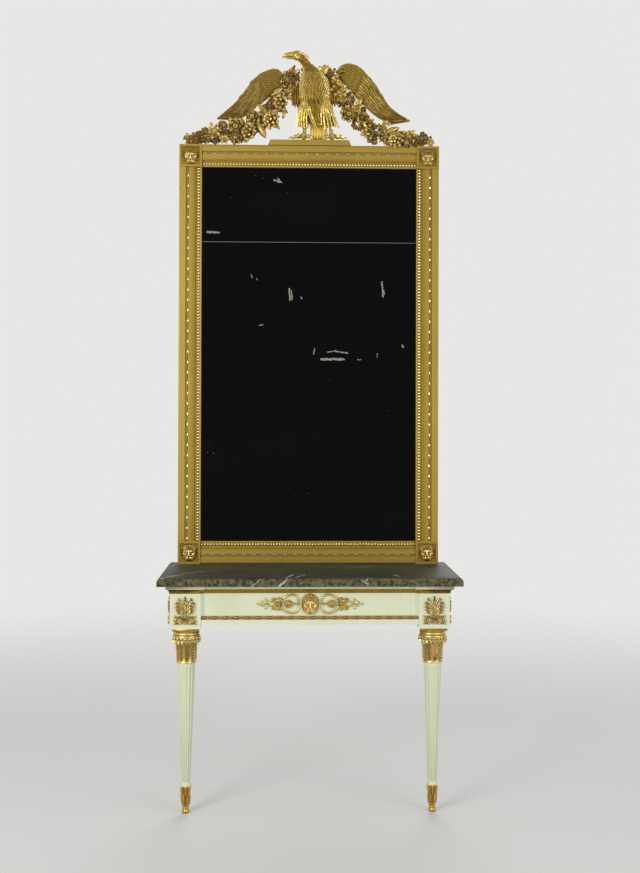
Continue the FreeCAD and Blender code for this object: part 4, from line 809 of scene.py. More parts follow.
# a brighter, barely darkened copy of the carved gold for the abacus: painted light against the shade under the corner
# block
abacus_gold_painted_light = gilded("abacus_gold_painted_light", gold=(0.60, 0.43, 0.090), worn=(0.50, 0.34, 0.070),
                     pale=(0.80, 0.62, 0.20), patch=30.0, dirt_and_shade=0.1, gloss=(0.34, 0.46), metal=0.7)
bare_bole = gilded("bare_bole", gold=(0.44, 0.240, 0.075), worn=(0.34, 0.165, 0.045),
                   pale=(0.62, 0.36, 0.15), patch=40.0, dirt_and_shade=0.1, gloss=(0.50, 0.62), metal=0.0)
for word in ("left", "right"):
    make_capital(word)


# ---------------------------------------------------------------- gilt shoes
# The foot of each leg ends in a carved and gilded shoe: two rows of upright leaves that meet
# the scalloped collar, a ring of large pearls and a small round foot.

SHOE_LEAVES = 6
SHOE_PEARLS = 8
PEARL_RING = (0.0094, 0.0196)
# the turned shape of the shoe below its top: radius and height
SHOE_TURNING = (
    (0, 0.0), (0.0112, 0.0), (0.0126, 0.0016), (0.0131, 0.006), (0.0127, 0.0105), (0.0112, 0.0130),
    (0.0100, 0.0150), (0.0098, 0.0240), (0.0110, 0.0262), (0.0106, 0.0290), (0.0100, 0.0330),
    (0.0104, 0.0450), (0.0116, 0.0600), (0.0130, 0.0750), (0.0146, 0.0900))
# each row of leaves: height of its roots, radius there, lean, length, width and first turn
SHOE_ROWS = ((0.028, 0.0100, 0.07, 0.040, 0.0125, 0.0), (0.056, 0.0116, 0.10, 0.042, 0.0150, 0.5))


def make_shoe(word):
    """One shoe, from the floor to the collar."""
    low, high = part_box(f"leg_{word}")
    axis = (low + high) / 2
    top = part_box("sabots")[1].z - 0.001
    bm = bmesh.new()
    add_turned(bm, [*SHOE_TURNING, (0.0156, top), (0, top)], (axis.x, axis.y, 0), 40)
    for turn in turns(SHOE_PEARLS, 0.5):
        add_ball(bm, round_about(axis, turn, *PEARL_RING)[0], 0.0088, 0.0088, 0.0088, 10, 8)
    for root, radius, lean, long, wide, first in SHOE_ROWS:
        for turn in turns(SHOE_LEAVES, first):
            spot, out = round_about(axis, turn, radius, root)
            add_leaf(bm, facing(spot, Vector((0, 0, 1)) + out * lean, out), long, wide, 0.0044,
                     0.045, -0.18, 0.9, 0.35)
            for side in (-1, 1):
                spot, out = round_about(axis, turn + side * 0.30, radius, root + 0.004)
                sway = Vector((-out.y, out.x, 0)) * side * 0.10
                add_leaf(bm, facing(spot, Vector((0, 0, 1)) + out * lean + sway, out), long * 0.62, wide * 0.5,
                         0.0036, 0.06, 0.0, 0.6, 0.4)
    set_piece(f"shoe_{word}", bm, shoe_gold, "table", ("sabots",), reach=0.008)


shoe_gold = gilded("shoe_gold", gold=(0.44, 0.265, 0.040), worn=(0.28, 0.165, 0.026),
                   pale=(0.74, 0.53, 0.17), dirt_and_shade=0.9)
for word in ("left", "right"):
    make_shoe(word)


# ---------------------------------------------------------------- palmette mounts
# Cast, chased and gilt bronze, pinned to the front and outer face of each corner block: a
# tall bud on a stem with five curling leaves to each side, over a base of two volutes.

# leaves of the palmette in millimetres: where each leaves the stem, its way to the shoulder, and
# its tip
PALM_LEAVES = (
    ((2, 64), (10, 81), (17.5, 89.5), (24.5, 86)),
    ((3, 52), (13, 69), (25, 77), (34, 72)),
    ((3, 44), (14, 57), (25, 64.5), (35, 60.5)),
    ((3, 37), (14, 47), (24, 53), (32.5, 49)),
    ((3, 31), (12, 38), (20, 43), (28, 40)),
)
PALM_HALF = (3.4, 3.3, 3.3, 3.5, 4.0, 4.3, 4.0, 1.9)
# the stem of the palmette: height, half width and depth
PALM_STEM = ((0, 8.8, 4.0), (12, 7.6, 5.0), (26, 7.2, 5.2), (33, 6.4, 5.2), (46, 6.2, 5.6), (60, 6.0, 5.4),
             (74, 5.2, 5.0), (84, 4.0, 4.6), (89, 2.4, 4.0), (91, 3.4, 4.2), (95, 3.8, 4.2), (98.5, 2.0, 3.0),
             (100, 0.5, 2.0))
# the volute's middle, the ring round it, and the lobes about it: root, tip and width
VOLUTE = (19.3, 13.5)
VOLUTE_RING = 6.4
VOLUTE_LOBES = (((31, 12), (37.5, 34), 8.5), ((31, 26), (33, 1), 9.0), ((22, 4), (43, 0.5), 6.0),
                ((12, 24), (30, 30), 8.0), ((5, 4), (9.5, 26), 8.5), ((27, 20), (22, 31), 7.5),
                ((14, 22), (16, 33), 6.5), ((8, 12), (14, 2), 7.5), ((26, 4), (31, 12), 7.0),
                ((34, 4), (39, 16), 6.5))
# leaf tips stand further out and higher than this, and are browner
BROWN_TIPS = (0.0170, 0.036)


def in_relief(x, z, out=0.0):
    """A point of a mount drawn flat in millimetres: across, up, and how far it stands out."""
    return Vector((x / 1000, -out / 1000, z / 1000))


def add_lobe(bm, root, tip, wide, out=4.0, thick=5.0, curl=0.0, cup=0.0, rib=0.7, taper=0.4):
    """A leaf or lock of a mount from its root to its tip, all in millimetres."""
    root, tip = (in_relief(*point, out) for point in (root, tip))
    add_leaf(bm, facing(root, tip - root, FRONT), (tip - root).length, wide / 1000, thick / 1000,
             curl, cup, rib, taper)


def add_strap(bm, corners, half_wide, half_deep, tip=0.6, steps=5):
    """A strap of a mount through (across, up, out) corners, all in millimetres."""
    add_stem(bm, [in_relief(*corner) for corner in corners], half_wide / 1000, half_deep / 1000, FRONT, tip, steps)


def add_ring(bm, x, z, radius, half_wide, half_deep, out, steps=18):
    """A cast ring drawn round its centre, in millimetres."""
    points = [in_relief(x + radius * math.cos(way), z + radius * math.sin(way), out)
              for way in turns(steps) + [2 * math.pi]]
    draw_along(bm, points, half_wide / 1000, half_deep / 1000)


def add_knob(bm, spot, size, sides=8, rings=6):
    """A round knob at (across, up, out), by its width, depth and height, all in millimetres."""
    add_ball(bm, in_relief(*spot), *(length / 1000 for length in size), sides, rings)


def palmette():
    """The palmette mount, drawn flat on the plane through its back."""
    bm = bmesh.new()
    for side in (-1, 1):
        for leaf in PALM_LEAVES:
            points = smooth_line([in_relief(side * x, z, 2.8 + 0.12 * x) for x, z in leaf], 3)
            last = len(points) - 1
            widths = [PALM_HALF[round(step * (len(PALM_HALF) - 1) / last)] / 1000 for step in range(last + 1)]
            draw_along(bm, points, widths, [0.0022] * last + [0.0010])
            draw_along(bm, [point + Vector((0, -0.0020, 0.0012)) for point in points[:-1]], 0.0008, 0.0010, sides=5)
        x, z = side * VOLUTE[0], VOLUTE[1]
        add_ring(bm, x, z, VOLUTE_RING, 3.5, 3.4, 3.0)
        add_knob(bm, (x, z, 1.0), (15, 6.0, 15), 10)
        add_knob(bm, (x, z, 4.0), (5.8, 4.4, 5.8))
        for way in turns(6):
            around = x + VOLUTE_RING * math.cos(way + 0.3), z + VOLUTE_RING * math.sin(way + 0.3)
            add_knob(bm, (*around, 5.2), (5, 4, 5), 6, 5)
        for root, tip, wide in VOLUTE_LOBES:
            add_lobe(bm, (side * root[0], root[1]), (side * tip[0], tip[1]), wide, 3.2)
        add_strap(bm, [(side * 1, 3, 2.8), (side * 20, 2.8, 3.0), (side * 37, 3, 2.4)], 3.2, 3.0, 0.7)
    draw_along(bm, [in_relief(0, up, deep / 2) for up, wide, deep in PALM_STEM],
               [wide / 1000 for up, wide, deep in PALM_STEM], [deep / 1000 for up, wide, deep in PALM_STEM], sides=12)
    for number in range(5):
        way = math.radians(30 + 30 * number)
        add_lobe(bm, (0, 6), (13 * math.cos(way), 6 + 15 * math.sin(way)), 6.0, 7.0, 4.0, 0.1)
    for x in (-2.4, 0, 2.4):
        add_strap(bm, [(x, 22, 7.0), (x * 1.1, 50, 7.6), (x * 0.5, 84, 6.0)], 0.9, 1.0, 0.5)
    cut_flat(bm)
    for face in bm.faces:
        spot = face.calc_center_median()
        face.material_index = abs(spot.x) > BROWN_TIPS[0] and spot.z > BROWN_TIPS[1]
    return unit_mesh(bm)


def seat_palmette(word, turn, spot):
    """A palmette set against its block, turned about the upright."""
    bm = bmesh.new()
    repeat(bm, palmette_unit, Matrix.Translation(spot) @ Matrix.Rotation(turn, 4, "Z"))
    set_piece(f"palmette_mount_{word}", bm, (mount_gold, mount_brown), "table", (f"palmette_{word}",),
              reach=0.003)


mount_gold = gilded("mount_gold", gold=(0.52, 0.375, 0.085), worn=(0.38, 0.25, 0.055),
                    pale=(0.92, 0.79, 0.42), hollow=(0.150, 0.078, 0.022), dirt_and_shade=0.75, gloss=(0.28, 0.42), metal=0.9)
mount_brown = gilded("mount_brown", gold=(0.36, 0.205, 0.040), worn=(0.25, 0.135, 0.028),
                     pale=(0.66, 0.46, 0.14), hollow=(0.110, 0.050, 0.014), dirt_and_shade=0.55, gloss=(0.26, 0.42))
palmette_unit = palmette()
for word, side in (("left", -1), ("right", 1)):
    low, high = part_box(f"palmette_front_{word}")
    seat_palmette(f"front_{word}", 0, ((low.x + high.x) / 2, high.y, low.z))
    low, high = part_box(f"palmette_side_{word}")
    seat_palmette(f"side_{word}", side * math.pi / 2, (low.x if side > 0 else high.x, (low.y + high.y) / 2, low.z))


# ---------------------------------------------------------------- lion mask
# A cast and chased lion's head in gilt bronze at the middle of the frieze: locks that hang over
# the forehead and down the sides, bright brows over deep eyes, and whiskers fanned to the chin.

# locks of the right half: root, tip, width and how far out, in millimetres
LION_LOCKS = (
    ((3.5, 33), (4.5, 20), 6.5, 7), ((11.5, 31.5), (10, 18.5), 6.5, 7), ((19.5, 27), (17.5, 16.5), 6.5, 6),
    ((26, 20), (21.5, 9), 6.0, 5), ((0, 23), (0, 9), 5.5, 9), ((7, 21.5), (6, 9.5), 5.5, 9),
    ((14, 18), (14.5, 8.5), 5.5, 8), ((29, 16), (29.5, -1), 4.6, 3), ((25, 12), (25.5, -5), 4.4, 5),
    ((29.5, 1), (28.5, -15), 4.6, 3), ((25, -2), (24, -17), 4.6, 5), ((27.5, -11), (22, -25), 6.0, 4),
    ((21, -8), (19, -25), 6.2, 6), ((15, -14), (14.5, -31.5), 6.6, 6), ((9, -17), (8.5, -34), 6.6, 6.5),
    ((3.2, -21), (3.6, -32), 5.2, 6),
)
# lobes of the right half: across, up, out, width, height, depth, and tilt in degrees
LION_LOBES = (
    (0, 6, -1, 62, 58, 21, 0), (0, -15, -1, 48, 42, 20, 0),
    (12.5, 4.2, 12.0, 8.4, 6.0, 7, 18), (6.5, 6, 9.0, 9, 10, 8, 10), (8.6, -3.4, 7.6, 4.4, 3.6, 4, 0),
    (17.5, -6, 7.5, 9, 15, 8, 38), (6.2, -22, 8.0, 7.5, 13, 8, -10), (12.6, -25, 6.0, 7.5, 15, 8, -18),
    (4.0, -12.8, 12.0, 6, 5, 5, 0),
)
LION_GROWN = (1.03, 1, 1.07, 1)


def lion_mask():
    """The lion's head on the plane through its back, its middle at the origin."""
    bm = bmesh.new()
    for side in (-1, 1):
        for root, tip, wide, out in LION_LOCKS:
            if root[0] or side > 0:
                add_lobe(bm, (side * root[0], root[1]), (side * tip[0], tip[1]), wide, out, 6.0, 0.03, 0, 0.9, 0.25)
        for across, up, out, wide, high, deep, tilt in LION_LOBES:
            lean = math.radians(tilt * side)
            turn = facing(in_relief(side * across, up, out), (math.sin(lean), 0, math.cos(lean)), FRONT)
            add_ball(bm, turn @ Matrix.Rotation(math.pi / 2, 4, "Z"), high / 1000, wide / 1000, deep / 1000, 12, 9)
        add_strap(bm, [(side * 21.5, -1.5, 8), (side * 17, -7, 9), (side * 11.5, -12.5, 9.5)], 2.6, 3.0, 0.6)
    add_strap(bm, [(0, 9, 9.5), (0, 1, 11.5), (0, -8, 13), (0, -13, 13)], 3.6, 3.6, 0.75)
    cut_flat(bm)
    return unit_mesh(bm)


lion_unit = lion_mask()
low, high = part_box("lion_mask")
bm = bmesh.new()
repeat(bm, lion_unit, Matrix.Translation(((low.x + high.x) / 2, high.y, (low.z + high.z) / 2))
       @ Matrix.Diagonal(LION_GROWN))
mask_gold = gilded("mask_gold", gold=(0.66, 0.49, 0.130), worn=(0.54, 0.38, 0.090),
                   pale=(0.92, 0.77, 0.36), hollow=(0.420, 0.250, 0.080), dirt_and_shade=0.08, gloss=(0.44, 0.56), metal=0.35)
set_piece("lion_head_mount", bm, mask_gold, "table", ("lion_mask",), reach=0.0025)


# ---------------------------------------------------------------- scroll mounts
# To each side of the lion a cast scroll in gilt bronze: two straps that make a heart round a
# shell, then a pair of leaves, two small rosettes, a ring and a spear point.

SHELL_ACROSS = 76.0
# upper strap and upper small straps of the right-hand scroll: corners, half width, depth, thinning
SCROLL_STRAPS = (
    (((43, 1, 2.6), (41.6, 12, 2.8), (44, 22.5, 3.4), (51, 29.3, 3.8), (61, 31.6, 4.0), (74, 29.8, 4.0),
      (84, 25.2, 3.8), (93.5, 18.2, 3.2), (98, 9, 2.8), (103, -1, 2.4), (112, -4, 2.4)), 4.1, 3.2, 0.45),
    (((120, 3, 3.0), (130, 7.2, 3.0), (138, 6.6, 3.0), (145, 2.0, 2.8)), 2.0, 2.2, 0.8),
    (((143, 1, 2.8), (145.5, 8, 2.8), (149, 12.5, 2.8)), 1.9, 2.2, 0.8),
)
# acanthus lobes of the upper half: root, tip and width
SCROLL_LEAVES = (
    ((93, 18), (111, 10.5), 10.5), ((98, 12), (110, 23), 9.5), ((104, 9), (121, 16), 11.0),
    ((112, 8), (132.5, 20), 8.5), ((112, 5), (133, 12), 9.5), ((120, 10), (136, 8), 6.5),
    ((100, 12), (101, 22), 7.5), ((116, 12), (122, 22), 7.5),
)
# lobes along the middle: across at the root and at the tip, width, and how far out
SCROLL_LOBES = ((66, 50, 11.0, 4.0), (41, 52, 10.5, 3.4), (106, 124, 12.5, 3.4), (141, 150, 7.5, 3.2),
                (148, 157, 6.5, 3.0), (172, 184, 7.5, 3.2))
SCROLL_ROSETTE = (151.8, 13.5)
SCROLL_RING = 165.0
SCROLL_GROWN = (1.05, 1, 1.02, 1)
SCROLL_INWARDS = 0.0020


def scroll_mount():
    """The right-hand scroll, drawn outwards from the lion's middle."""
    bm = bmesh.new()
    for side in (-1, 1):
        for corners, half_wide, half_deep, tip in SCROLL_STRAPS:
            add_strap(bm, [(x, side * z, out) for x, z, out in corners], half_wide, half_deep, tip)
        for root, tip, wide in SCROLL_LEAVES:
            add_lobe(bm, (root[0], side * root[1]), (tip[0], side * tip[1]), wide, 3.4, 6.0, 0.06, 0.1, 0.6, 0.15)
        x, z = SCROLL_ROSETTE[0], side * SCROLL_ROSETTE[1]
        add_knob(bm, (x, z, 3.0), (11.0, 7.0, 10.5), 10, 8)
        add_knob(bm, (x, z, 6.2), (4.8, 3.0, 4.8))
    # the shell: broad petals round a button, and the trunk that joins it to the straps
    for way in turns(9, 0.5):
        add_lobe(bm, (SHELL_ACROSS + 3 * math.cos(way), 3 * math.sin(way)),
                 (SHELL_ACROSS + 16.5 * math.cos(way), 15.5 * math.sin(way)), 9.2, 3.8, 5.6, 0.08, 0, 0.8, -0.1)
    add_knob(bm, (SHELL_ACROSS, 0, 5.0), (8.0, 5.0, 8.0), 10, 8)
    for root, tip, wide, out in SCROLL_LOBES:
        add_lobe(bm, (root, 0), (tip, 0), wide, out, 6.0, taper=0.3)
    add_strap(bm, [(30, 0, 1.6), (60, 0, 2.0), (90, 0, 2.0)], 1.2, 1.6, 0.9)
    add_strap(bm, [(156, 0, 2.0), (165, 0, 2.2), (174, 0, 2.0)], 0.9, 1.4, 0.9)
    add_ring(bm, SCROLL_RING, 0, 7.8, 1.9, 2.2, 2.6)
    cut_flat(bm)
    return unit_mesh(bm)


scroll_unit = scroll_mount()
centre = (low + high) / 2
for word, side in (("left", -1), ("right", 1)):
    bm = bmesh.new()
    place = Matrix.Translation((centre.x - side * SCROLL_INWARDS, high.y, centre.z))
    repeat(bm, scroll_unit, place @ Matrix.Diagonal((side, 1, 1, 1)) @ Matrix.Diagonal(SCROLL_GROWN))
    set_piece(f"scroll_gilt_{word}", bm, mount_gold, "table", (f"scroll_mount_{word}",), reach=0.003)


# ---------------------------------------------------------------- marble slab
# One moulded slab of dark grey-green marble, mottled with olive and crossed by thin pale
# veins, its edge worked to a cyma and polished, its top rougher, darker and streaked. It lies loose.

MARBLE_DARK = (0.026, 0.027, 0.016, 1)
MARBLE_OLIVE = (0.135, 0.116, 0.046, 1)
MARBLE_GREY = (0.160, 0.144, 0.076, 1)
# the darker colour of faces that look upwards, and its streaks
MARBLE_TOP_DARK = (0.036, 0.040, 0.030, 1)
MARBLE_STREAK = (0.100, 0.105, 0.078, 1)
MARBLE_VEIN = (0.62, 0.64, 0.56, 1)
# the strong veins, each from one point to another with its half width, all in millimetres:
# across and back on the top, then across and up on the front edge
TOP_VEINS = (((-525, -216), (-452, -112), 3.6), ((-452, -112), (-384, -23), 2.6), ((-60, -130), (-84, -205), 5.0),
             ((-50, -200), (-18, -130), 3.6), ((302, -140), (316, -170), 5.0), ((150, 40), (240, 96), 2.0))
EDGE_VEINS = (((-170, 850), (-208, 820), 0.9), ((-80, 850), (-92, 838), 1.6), ((-90, 840), (-112, 820), 2.6),
              ((212, 850), (182, 839), 1.0), ((184, 841), (206, 828), 1.8), ((196, 848), (216, 847), 1.0))


def line_effect():
    """A ragged line from one point to another of the faces, for veins and scratches."""
    group, given, out = new_effect("ragged_line", {"Start": (0.0, 0.0, 0.0), "End": (1.0, 0.0, 0.0), "Half": 0.001,
                                                   "Flat": (1.0, 1.0, 1.0), "Wander": 0.006}, {"Mask": "Float"})
    spot = object_spot(group)
    bend = calc_vectors(group, "SUBTRACT", noise(group, spot, 34.0, answer=1), (0.5, 0.5, 0.5))
    spot = calc_vectors(group, "ADD", spot, calc_vectors(group, "SCALE", bend, given["Wander"]))
    spot = calc_vectors(group, "MULTIPLY", spot, given["Flat"])
    way = calc_vectors(group, "SUBTRACT", given["End"], given["Start"])
    off = calc_vectors(group, "SUBTRACT", spot, given["Start"])
    reach, whole = (calc_vectors(group, "DOT_PRODUCT", other, way, 1) for other in (off, way))
    near = calc_vectors(group, "SCALE", way, combined(group, reach, whole, "DIVIDE"))
    ratio = calc(group, "DIVIDE", calc_vectors(group, "DISTANCE", off, near, 1), given["Half"])
    ragged = ranged(group, noise(group, spot, 120.0, 4.0, Roughness=0.7), 0.30, 0.60, 0.2, 1.5)
    group.links.new(ranged(group, calc(group, "SUBTRACT", ragged, ratio), 0.0, 0.45), out["Mask"])
    return group


def ragged_lines(tree, lines, flat, wander):
    """A mask of ragged lines; flat tells the two axes that they are drawn on."""
    mask = 0.0
    for start, end, half in lines:
        start, end = ((x / 1000, y / 1000 * flat[1], y / 1000 * flat[2]) for x, y in (start, end))
        line = put_effect(tree, ragged_line, Start=start, End=end, Half=half / 1000, Flat=flat, Wander=wander)
        mask = combined(tree, mask, line, "MAXIMUM")
    return mask


def marble():
    """Mottled stone with a net of fine veins and a few strong white ones, rougher, darker and streaked on top."""
    finish, tree, shader = new_finish("green_marble", Specular_IOR_Level=0.16)
    spot = add_node(tree, "TexCoord").outputs
    facing_up = add_node(tree, "SeparateXYZ", {0: spot["Normal"]}).outputs["Z"]
    top = ranged(tree, facing_up, 0.75, 0.95)
    edge = ranged(tree, facing_up, 0.75, 0.95, 1.0, 0.0)
    bend = calc_vectors(tree, "MULTIPLY", noise(tree, spot["Object"], 9.0, 4.0, 1), (0.06, 0.06, 0.06))
    bent = calc_vectors(tree, "ADD", spot["Object"], bend)
    clouds = noise(tree, bent, 66.0, 6.0, Roughness=0.6)
    specks = noise(tree, bent, 150.0, 4.0, Roughness=0.6)
    streaks = noise(tree, calc_vectors(tree, "MULTIPLY", bent, (3.0, 60.0, 60.0)), 1.0, 4.0)
    mottled = mixed(tree, ranged(tree, clouds, 0.42, 0.58), MARBLE_DARK, MARBLE_OLIVE)
    mottled = mixed(tree, combined(tree, ranged(tree, specks, 0.50, 0.70), 0.7), mottled, MARBLE_GREY)
    top_colour = mixed(tree, combined(tree, ranged(tree, streaks, 0.42, 0.62), 0.75), MARBLE_TOP_DARK, MARBLE_STREAK)
    top_colour = mixed(tree, combined(tree, ranged(tree, clouds, 0.48, 0.66), 0.35), top_colour, MARBLE_DARK)
    net = add_node(tree, "TexVoronoi", {"Vector": bent, "Scale": 9.0}, feature="DISTANCE_TO_EDGE").outputs[0]
    broken = put_effect(tree, patches, Scale=6.0, Share=0.40, Edge=0.2)
    fine = combined(tree, combined(tree, ranged(tree, net, 0.0, 0.010, 1.0, 0.0), broken), 0.30)
    above = combined(tree, ragged_lines(tree, TOP_VEINS, (1.0, 1.0, 0.0), 0.012), top)
    before = combined(tree, ragged_lines(tree, EDGE_VEINS, (1.0, 0.0, 1.0), 0.014), edge)
    strong = combined(tree, combined(tree, above, before, "MAXIMUM"), 0.7)
    colour = mixed(tree, top, mottled, top_colour)
    for mask in (fine, strong):
        colour = mixed(tree, mask, colour, MARBLE_VEIN)
    worn = put_effect(tree, patches, Scale=4.0, Share=0.5, Edge=0.3)
    rough = combined(tree, ranged(tree, worn, 0.0, 1.0, 0.26, 0.42), combined(tree, top, 0.22), "ADD")
    wire(shader, Base_Color=colour, Roughness=rough,
         Normal=put_effect(tree, tooled, Scale=90.0, Strength=0.08))
    return finish


ragged_line = line_effect()
ease("marble_slab", marble(), "slab", 0.0012)


# ---------------------------------------------------------------- mirror frame
# Pine members moulded in three bands, gilded over thin yellow and red bole, tenoned into four
# square corner blocks with a sunk field. The back of the frame is bare wood.

FRAME_SKIN = 0.006


def framed_gold():
    """Satin gilding in front, toned down the length of the members, and bare wood behind."""
    finish = gilded("frame_gold", gold=(0.295, 0.192, 0.021), worn=(0.225, 0.152, 0.016),
                    pale=(0.46, 0.34, 0.09), patch=5.0, share=0.55, chased=0.16, gloss=(0.44, 0.56), metal=0.85,
                    coarse=160.0)
    tree = finish.node_tree
    shader = tree.nodes["Principled BSDF"]
    depth = add_node(tree, "SeparateXYZ", {0: object_spot(tree)}).outputs["Y"]
    behind = calc(tree, "GREATER_THAN", depth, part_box("stile_left")[1].y - FRAME_SKIN)
    gold, metallic, rough = (shader.inputs[socket].links[0].from_socket
                             for socket in ("Base Color", "Metallic", "Roughness"))
    metallic, rough = (add_node(tree, "Mix", {0: behind, 2: gilt, 3: bare}, data_type="FLOAT").outputs[0]
                       for gilt, bare in ((metallic, 0.0), (rough, 0.7)))
    wire(shader, Base_Color=mixed(tree, behind, gold, put_effect(tree, grain, Along_Z=0.12)),
         Metallic=metallic, Roughness=rough)
    return finish


frame_gold = framed_gold()
for node in ("stile_left", "stile_right", "frame_rail_bottom", "frame_rail_top", "frame_block_bottom_left",
             "frame_block_bottom_right", "frame_block_top_left", "frame_block_top_right", "crest_plinth"):
    ease(node, frame_gold, "mirror", EASED, 0.006)


# ---------------------------------------------------------------- corner masks
# A carved and gilded lion's head, flatter than the bronze one, in the sunk field of each corner
# block of the mirror frame.

corner_gold = gilded("corner_gold", gold=(0.48, 0.345, 0.080), worn=(0.38, 0.265, 0.055),
                     pale=(0.90, 0.78, 0.42), dirt_and_shade=0.35, hollow=(0.240, 0.150, 0.042), gloss=(0.30, 0.46))
LION_DEEP = 0.0155
mask_low, mask_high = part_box("corner_masks")
smaller = (0.96, (mask_high.y - mask_low.y) / LION_DEEP, 0.95, 1)
bm = bmesh.new()
for corner in ("bottom_left", "bottom_right", "top_left", "top_right"):
    low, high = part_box(f"frame_block_{corner}")
    repeat(bm, lion_unit, Matrix.Translation(((low.x + high.x) / 2, mask_high.y, (low.z + high.z) / 2))
           @ Matrix.Diagonal(smaller))
set_piece("frame_corner_masks", bm, corner_gold, "mirror", ("corner_masks",), reach=0.0025)


# ---------------------------------------------------------------- bead and pearl strings
# In the groove round the frame a string of long bright beads between groups of discs, and at
# the sight edge a string of pearls; both carved in lengths, gilded and glued in.

# length, width and depth of the long bead, of a disc and of a pearl, before the back is cut flat
BRIGHT_BEAD = (0.0175, 0.0072, 0.00576)
REEL = (0.00369, 0.0060, 0.0045)
REELS = 5
REEL_PITCH = 0.0041
REEL_GAP = 0.0007
STRING_PITCH = BRIGHT_BEAD[0] + REELS * REEL_PITCH + 0.0014
PEARL = (0.01035, 0.0122, 0.0110)
PEARL_PITCH = 0.0115


def string_round(name, node, unit, pitch, finish, band):
    """A string on all four members, from corner block to corner block."""
    low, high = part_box(node)
    left, bottom = (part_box("frame_block_bottom_left")[1][axis] for axis in (0, 2))
    right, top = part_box("frame_block_bottom_right")[0].x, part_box("frame_block_top_left")[0].z
    bm = bmesh.new()
    for x in (low.x + band, high.x - band):
        string_along(bm, unit, (x, high.y, bottom), (0, 0, 1), (0, -1, 0), top - bottom, pitch)
    for z in (low.z + band, high.z - band):
        string_along(bm, unit, (left, high.y, z), (1, 0, 0), (0, -1, 0), right - left, pitch)
    set_piece(name, bm, finish, "mirror", (node,), reach=0.005)


# the beads and pearls are paled hard on their crowns as a painted highlight and darkened hard between them as dirt
# and painted shade
bead_gold = gilded("bead_gold", gold=(0.38, 0.18, 0.034), worn=(0.25, 0.095, 0.024),
                   pale=(0.98, 0.88, 0.55), hollow=(0.100, 0.036, 0.014), patch=60.0, dirt_and_shade=1.7, gloss=(0.14, 0.24))
pearl_gold = gilded("pearl_gold", gold=(0.44, 0.29, 0.070), worn=(0.36, 0.20, 0.045), patch=30.0, dirt_and_shade=1.6,
                    pale=(0.88, 0.74, 0.42), hollow=(0.110, 0.042, 0.014))
bead_unit = bead_and_discs(BRIGHT_BEAD, REEL, REELS, REEL_PITCH, REEL_GAP, 8)
bm = bmesh.new()
add_ball(bm, (PEARL_PITCH / 2, 0, 0), *PEARL)
cut_flat(bm)
pearl_unit = unit_mesh(bm)
string_round("frame_bead_strings", "outer_bead_strings", bead_unit, STRING_PITCH, bead_gold, 0.0035)
string_round("frame_pearl_strings", "inner_pearl_strings", pearl_unit, PEARL_PITCH, pearl_gold, 0.0050)


# ---------------------------------------------------------------- looking glass
# Two plates of old silvered glass that butt together above the middle. The silvering is painted
# near black, a painted reflection of a dark room; it is lost in a few streaks and specked with pin holes.

# where the silvering is scratched or lost: from one point to another, across and up, with the
# half width, all in millimetres
LOSSES = (((-136, 2328), (-118, 2322), 4.0), ((-122, 2334), (-108, 2318), 2.2), ((-392, 2125), (-350, 2124), 4.2),
          ((-224, 1962), (-220, 1950), 1.6), ((-204, 1948), (-200, 1940), 1.4), ((-76, 1908), (-74, 1866), 3.4),
          ((-68, 1900), (-66, 1866), 2.4), ((-32, 1876), (-28, 1870), 2.6), ((282, 1938), (286, 1880), 3.2),
          ((289, 1905), (292, 1888), 2.0), ((22, 1680), (20, 1657), 1.8), ((72, 1664), (104, 1670), 2.0),
          ((104, 1666), (150, 1661), 2.2), ((50, 1637), (136, 1637), 4.6), ((264, 1660), (265, 1645), 1.5),
          ((362, 1694), (366, 1684), 2.6), ((190, 1635), (203, 1635), 1.6), ((-192, 1768), (-178, 1770), 1.8))
# the near-black silvering, in two tones, is a painted dark reflection; the grey is where the silvering is lost
GLASS_DARK = (0.0058, 0.0061, 0.0060, 1)
GLASS_CLOUD = (0.0105, 0.0108, 0.0104, 1)
LOSS_GREY = (0.27, 0.265, 0.215, 1)
JOINT_HALF = 0.0012


def looking_glass():
    """Silvered glass painted near black as a painted dark reflection, cloudy in places, with its losses."""
    finish, tree, shader = new_finish("looking_glass", Specular_IOR_Level=0.5)
    spot = object_spot(tree)
    cloud = put_effect(tree, patches, Scale=2.6, Share=0.45, Edge=0.4)
    colour = mixed(tree, cloud, GLASS_DARK, GLASS_CLOUD)
    holes = add_node(tree, "TexVoronoi", {"Vector": spot, "Scale": 46.0}).outputs[0]
    some = put_effect(tree, patches, Scale=5.0, Share=0.34, Edge=0.12)
    lost = combined(tree, combined(tree, ranged(tree, holes, 0.06, 0.10, 1.0, 0.0), some), 0.7)
    lost = combined(tree, ragged_lines(tree, LOSSES, (1.0, 0.0, 1.0), 0.010), lost, "MAXIMUM")
    up = add_node(tree, "SeparateXYZ", {0: spot}).outputs["Z"]
    off = calc(tree, "ABSOLUTE", calc(tree, "SUBTRACT", up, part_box("mirror_plate_upper")[0].z))
    edge = combined(tree, ranged(tree, off, JOINT_HALF * 0.6, JOINT_HALF, 1.0, 0.0), 0.8)
    lost = combined(tree, lost, edge, "MAXIMUM")
    wire(shader, Base_Color=mixed(tree, lost, colour, LOSS_GREY),
         Roughness=ranged(tree, lost, 0.0, 1.0, 0.03, 0.75), Metallic=ranged(tree, lost, 0.0, 1.0, 1.0, 0.25))
    return finish


looking = looking_glass()
for node in ("mirror_plate_lower", "mirror_plate_upper"):
    ease(node, looking, "mirror", 0.0010)


# ---------------------------------------------------------------- back of the mirror
# A backboard of wide pine boards held by two battens, and two iron plates screwed to the
# stiles that hang the mirror from wall screws.

IRON_DARK = (0.045, 0.040, 0.036, 1)
IRON_RUST = (0.150, 0.065, 0.025, 1)


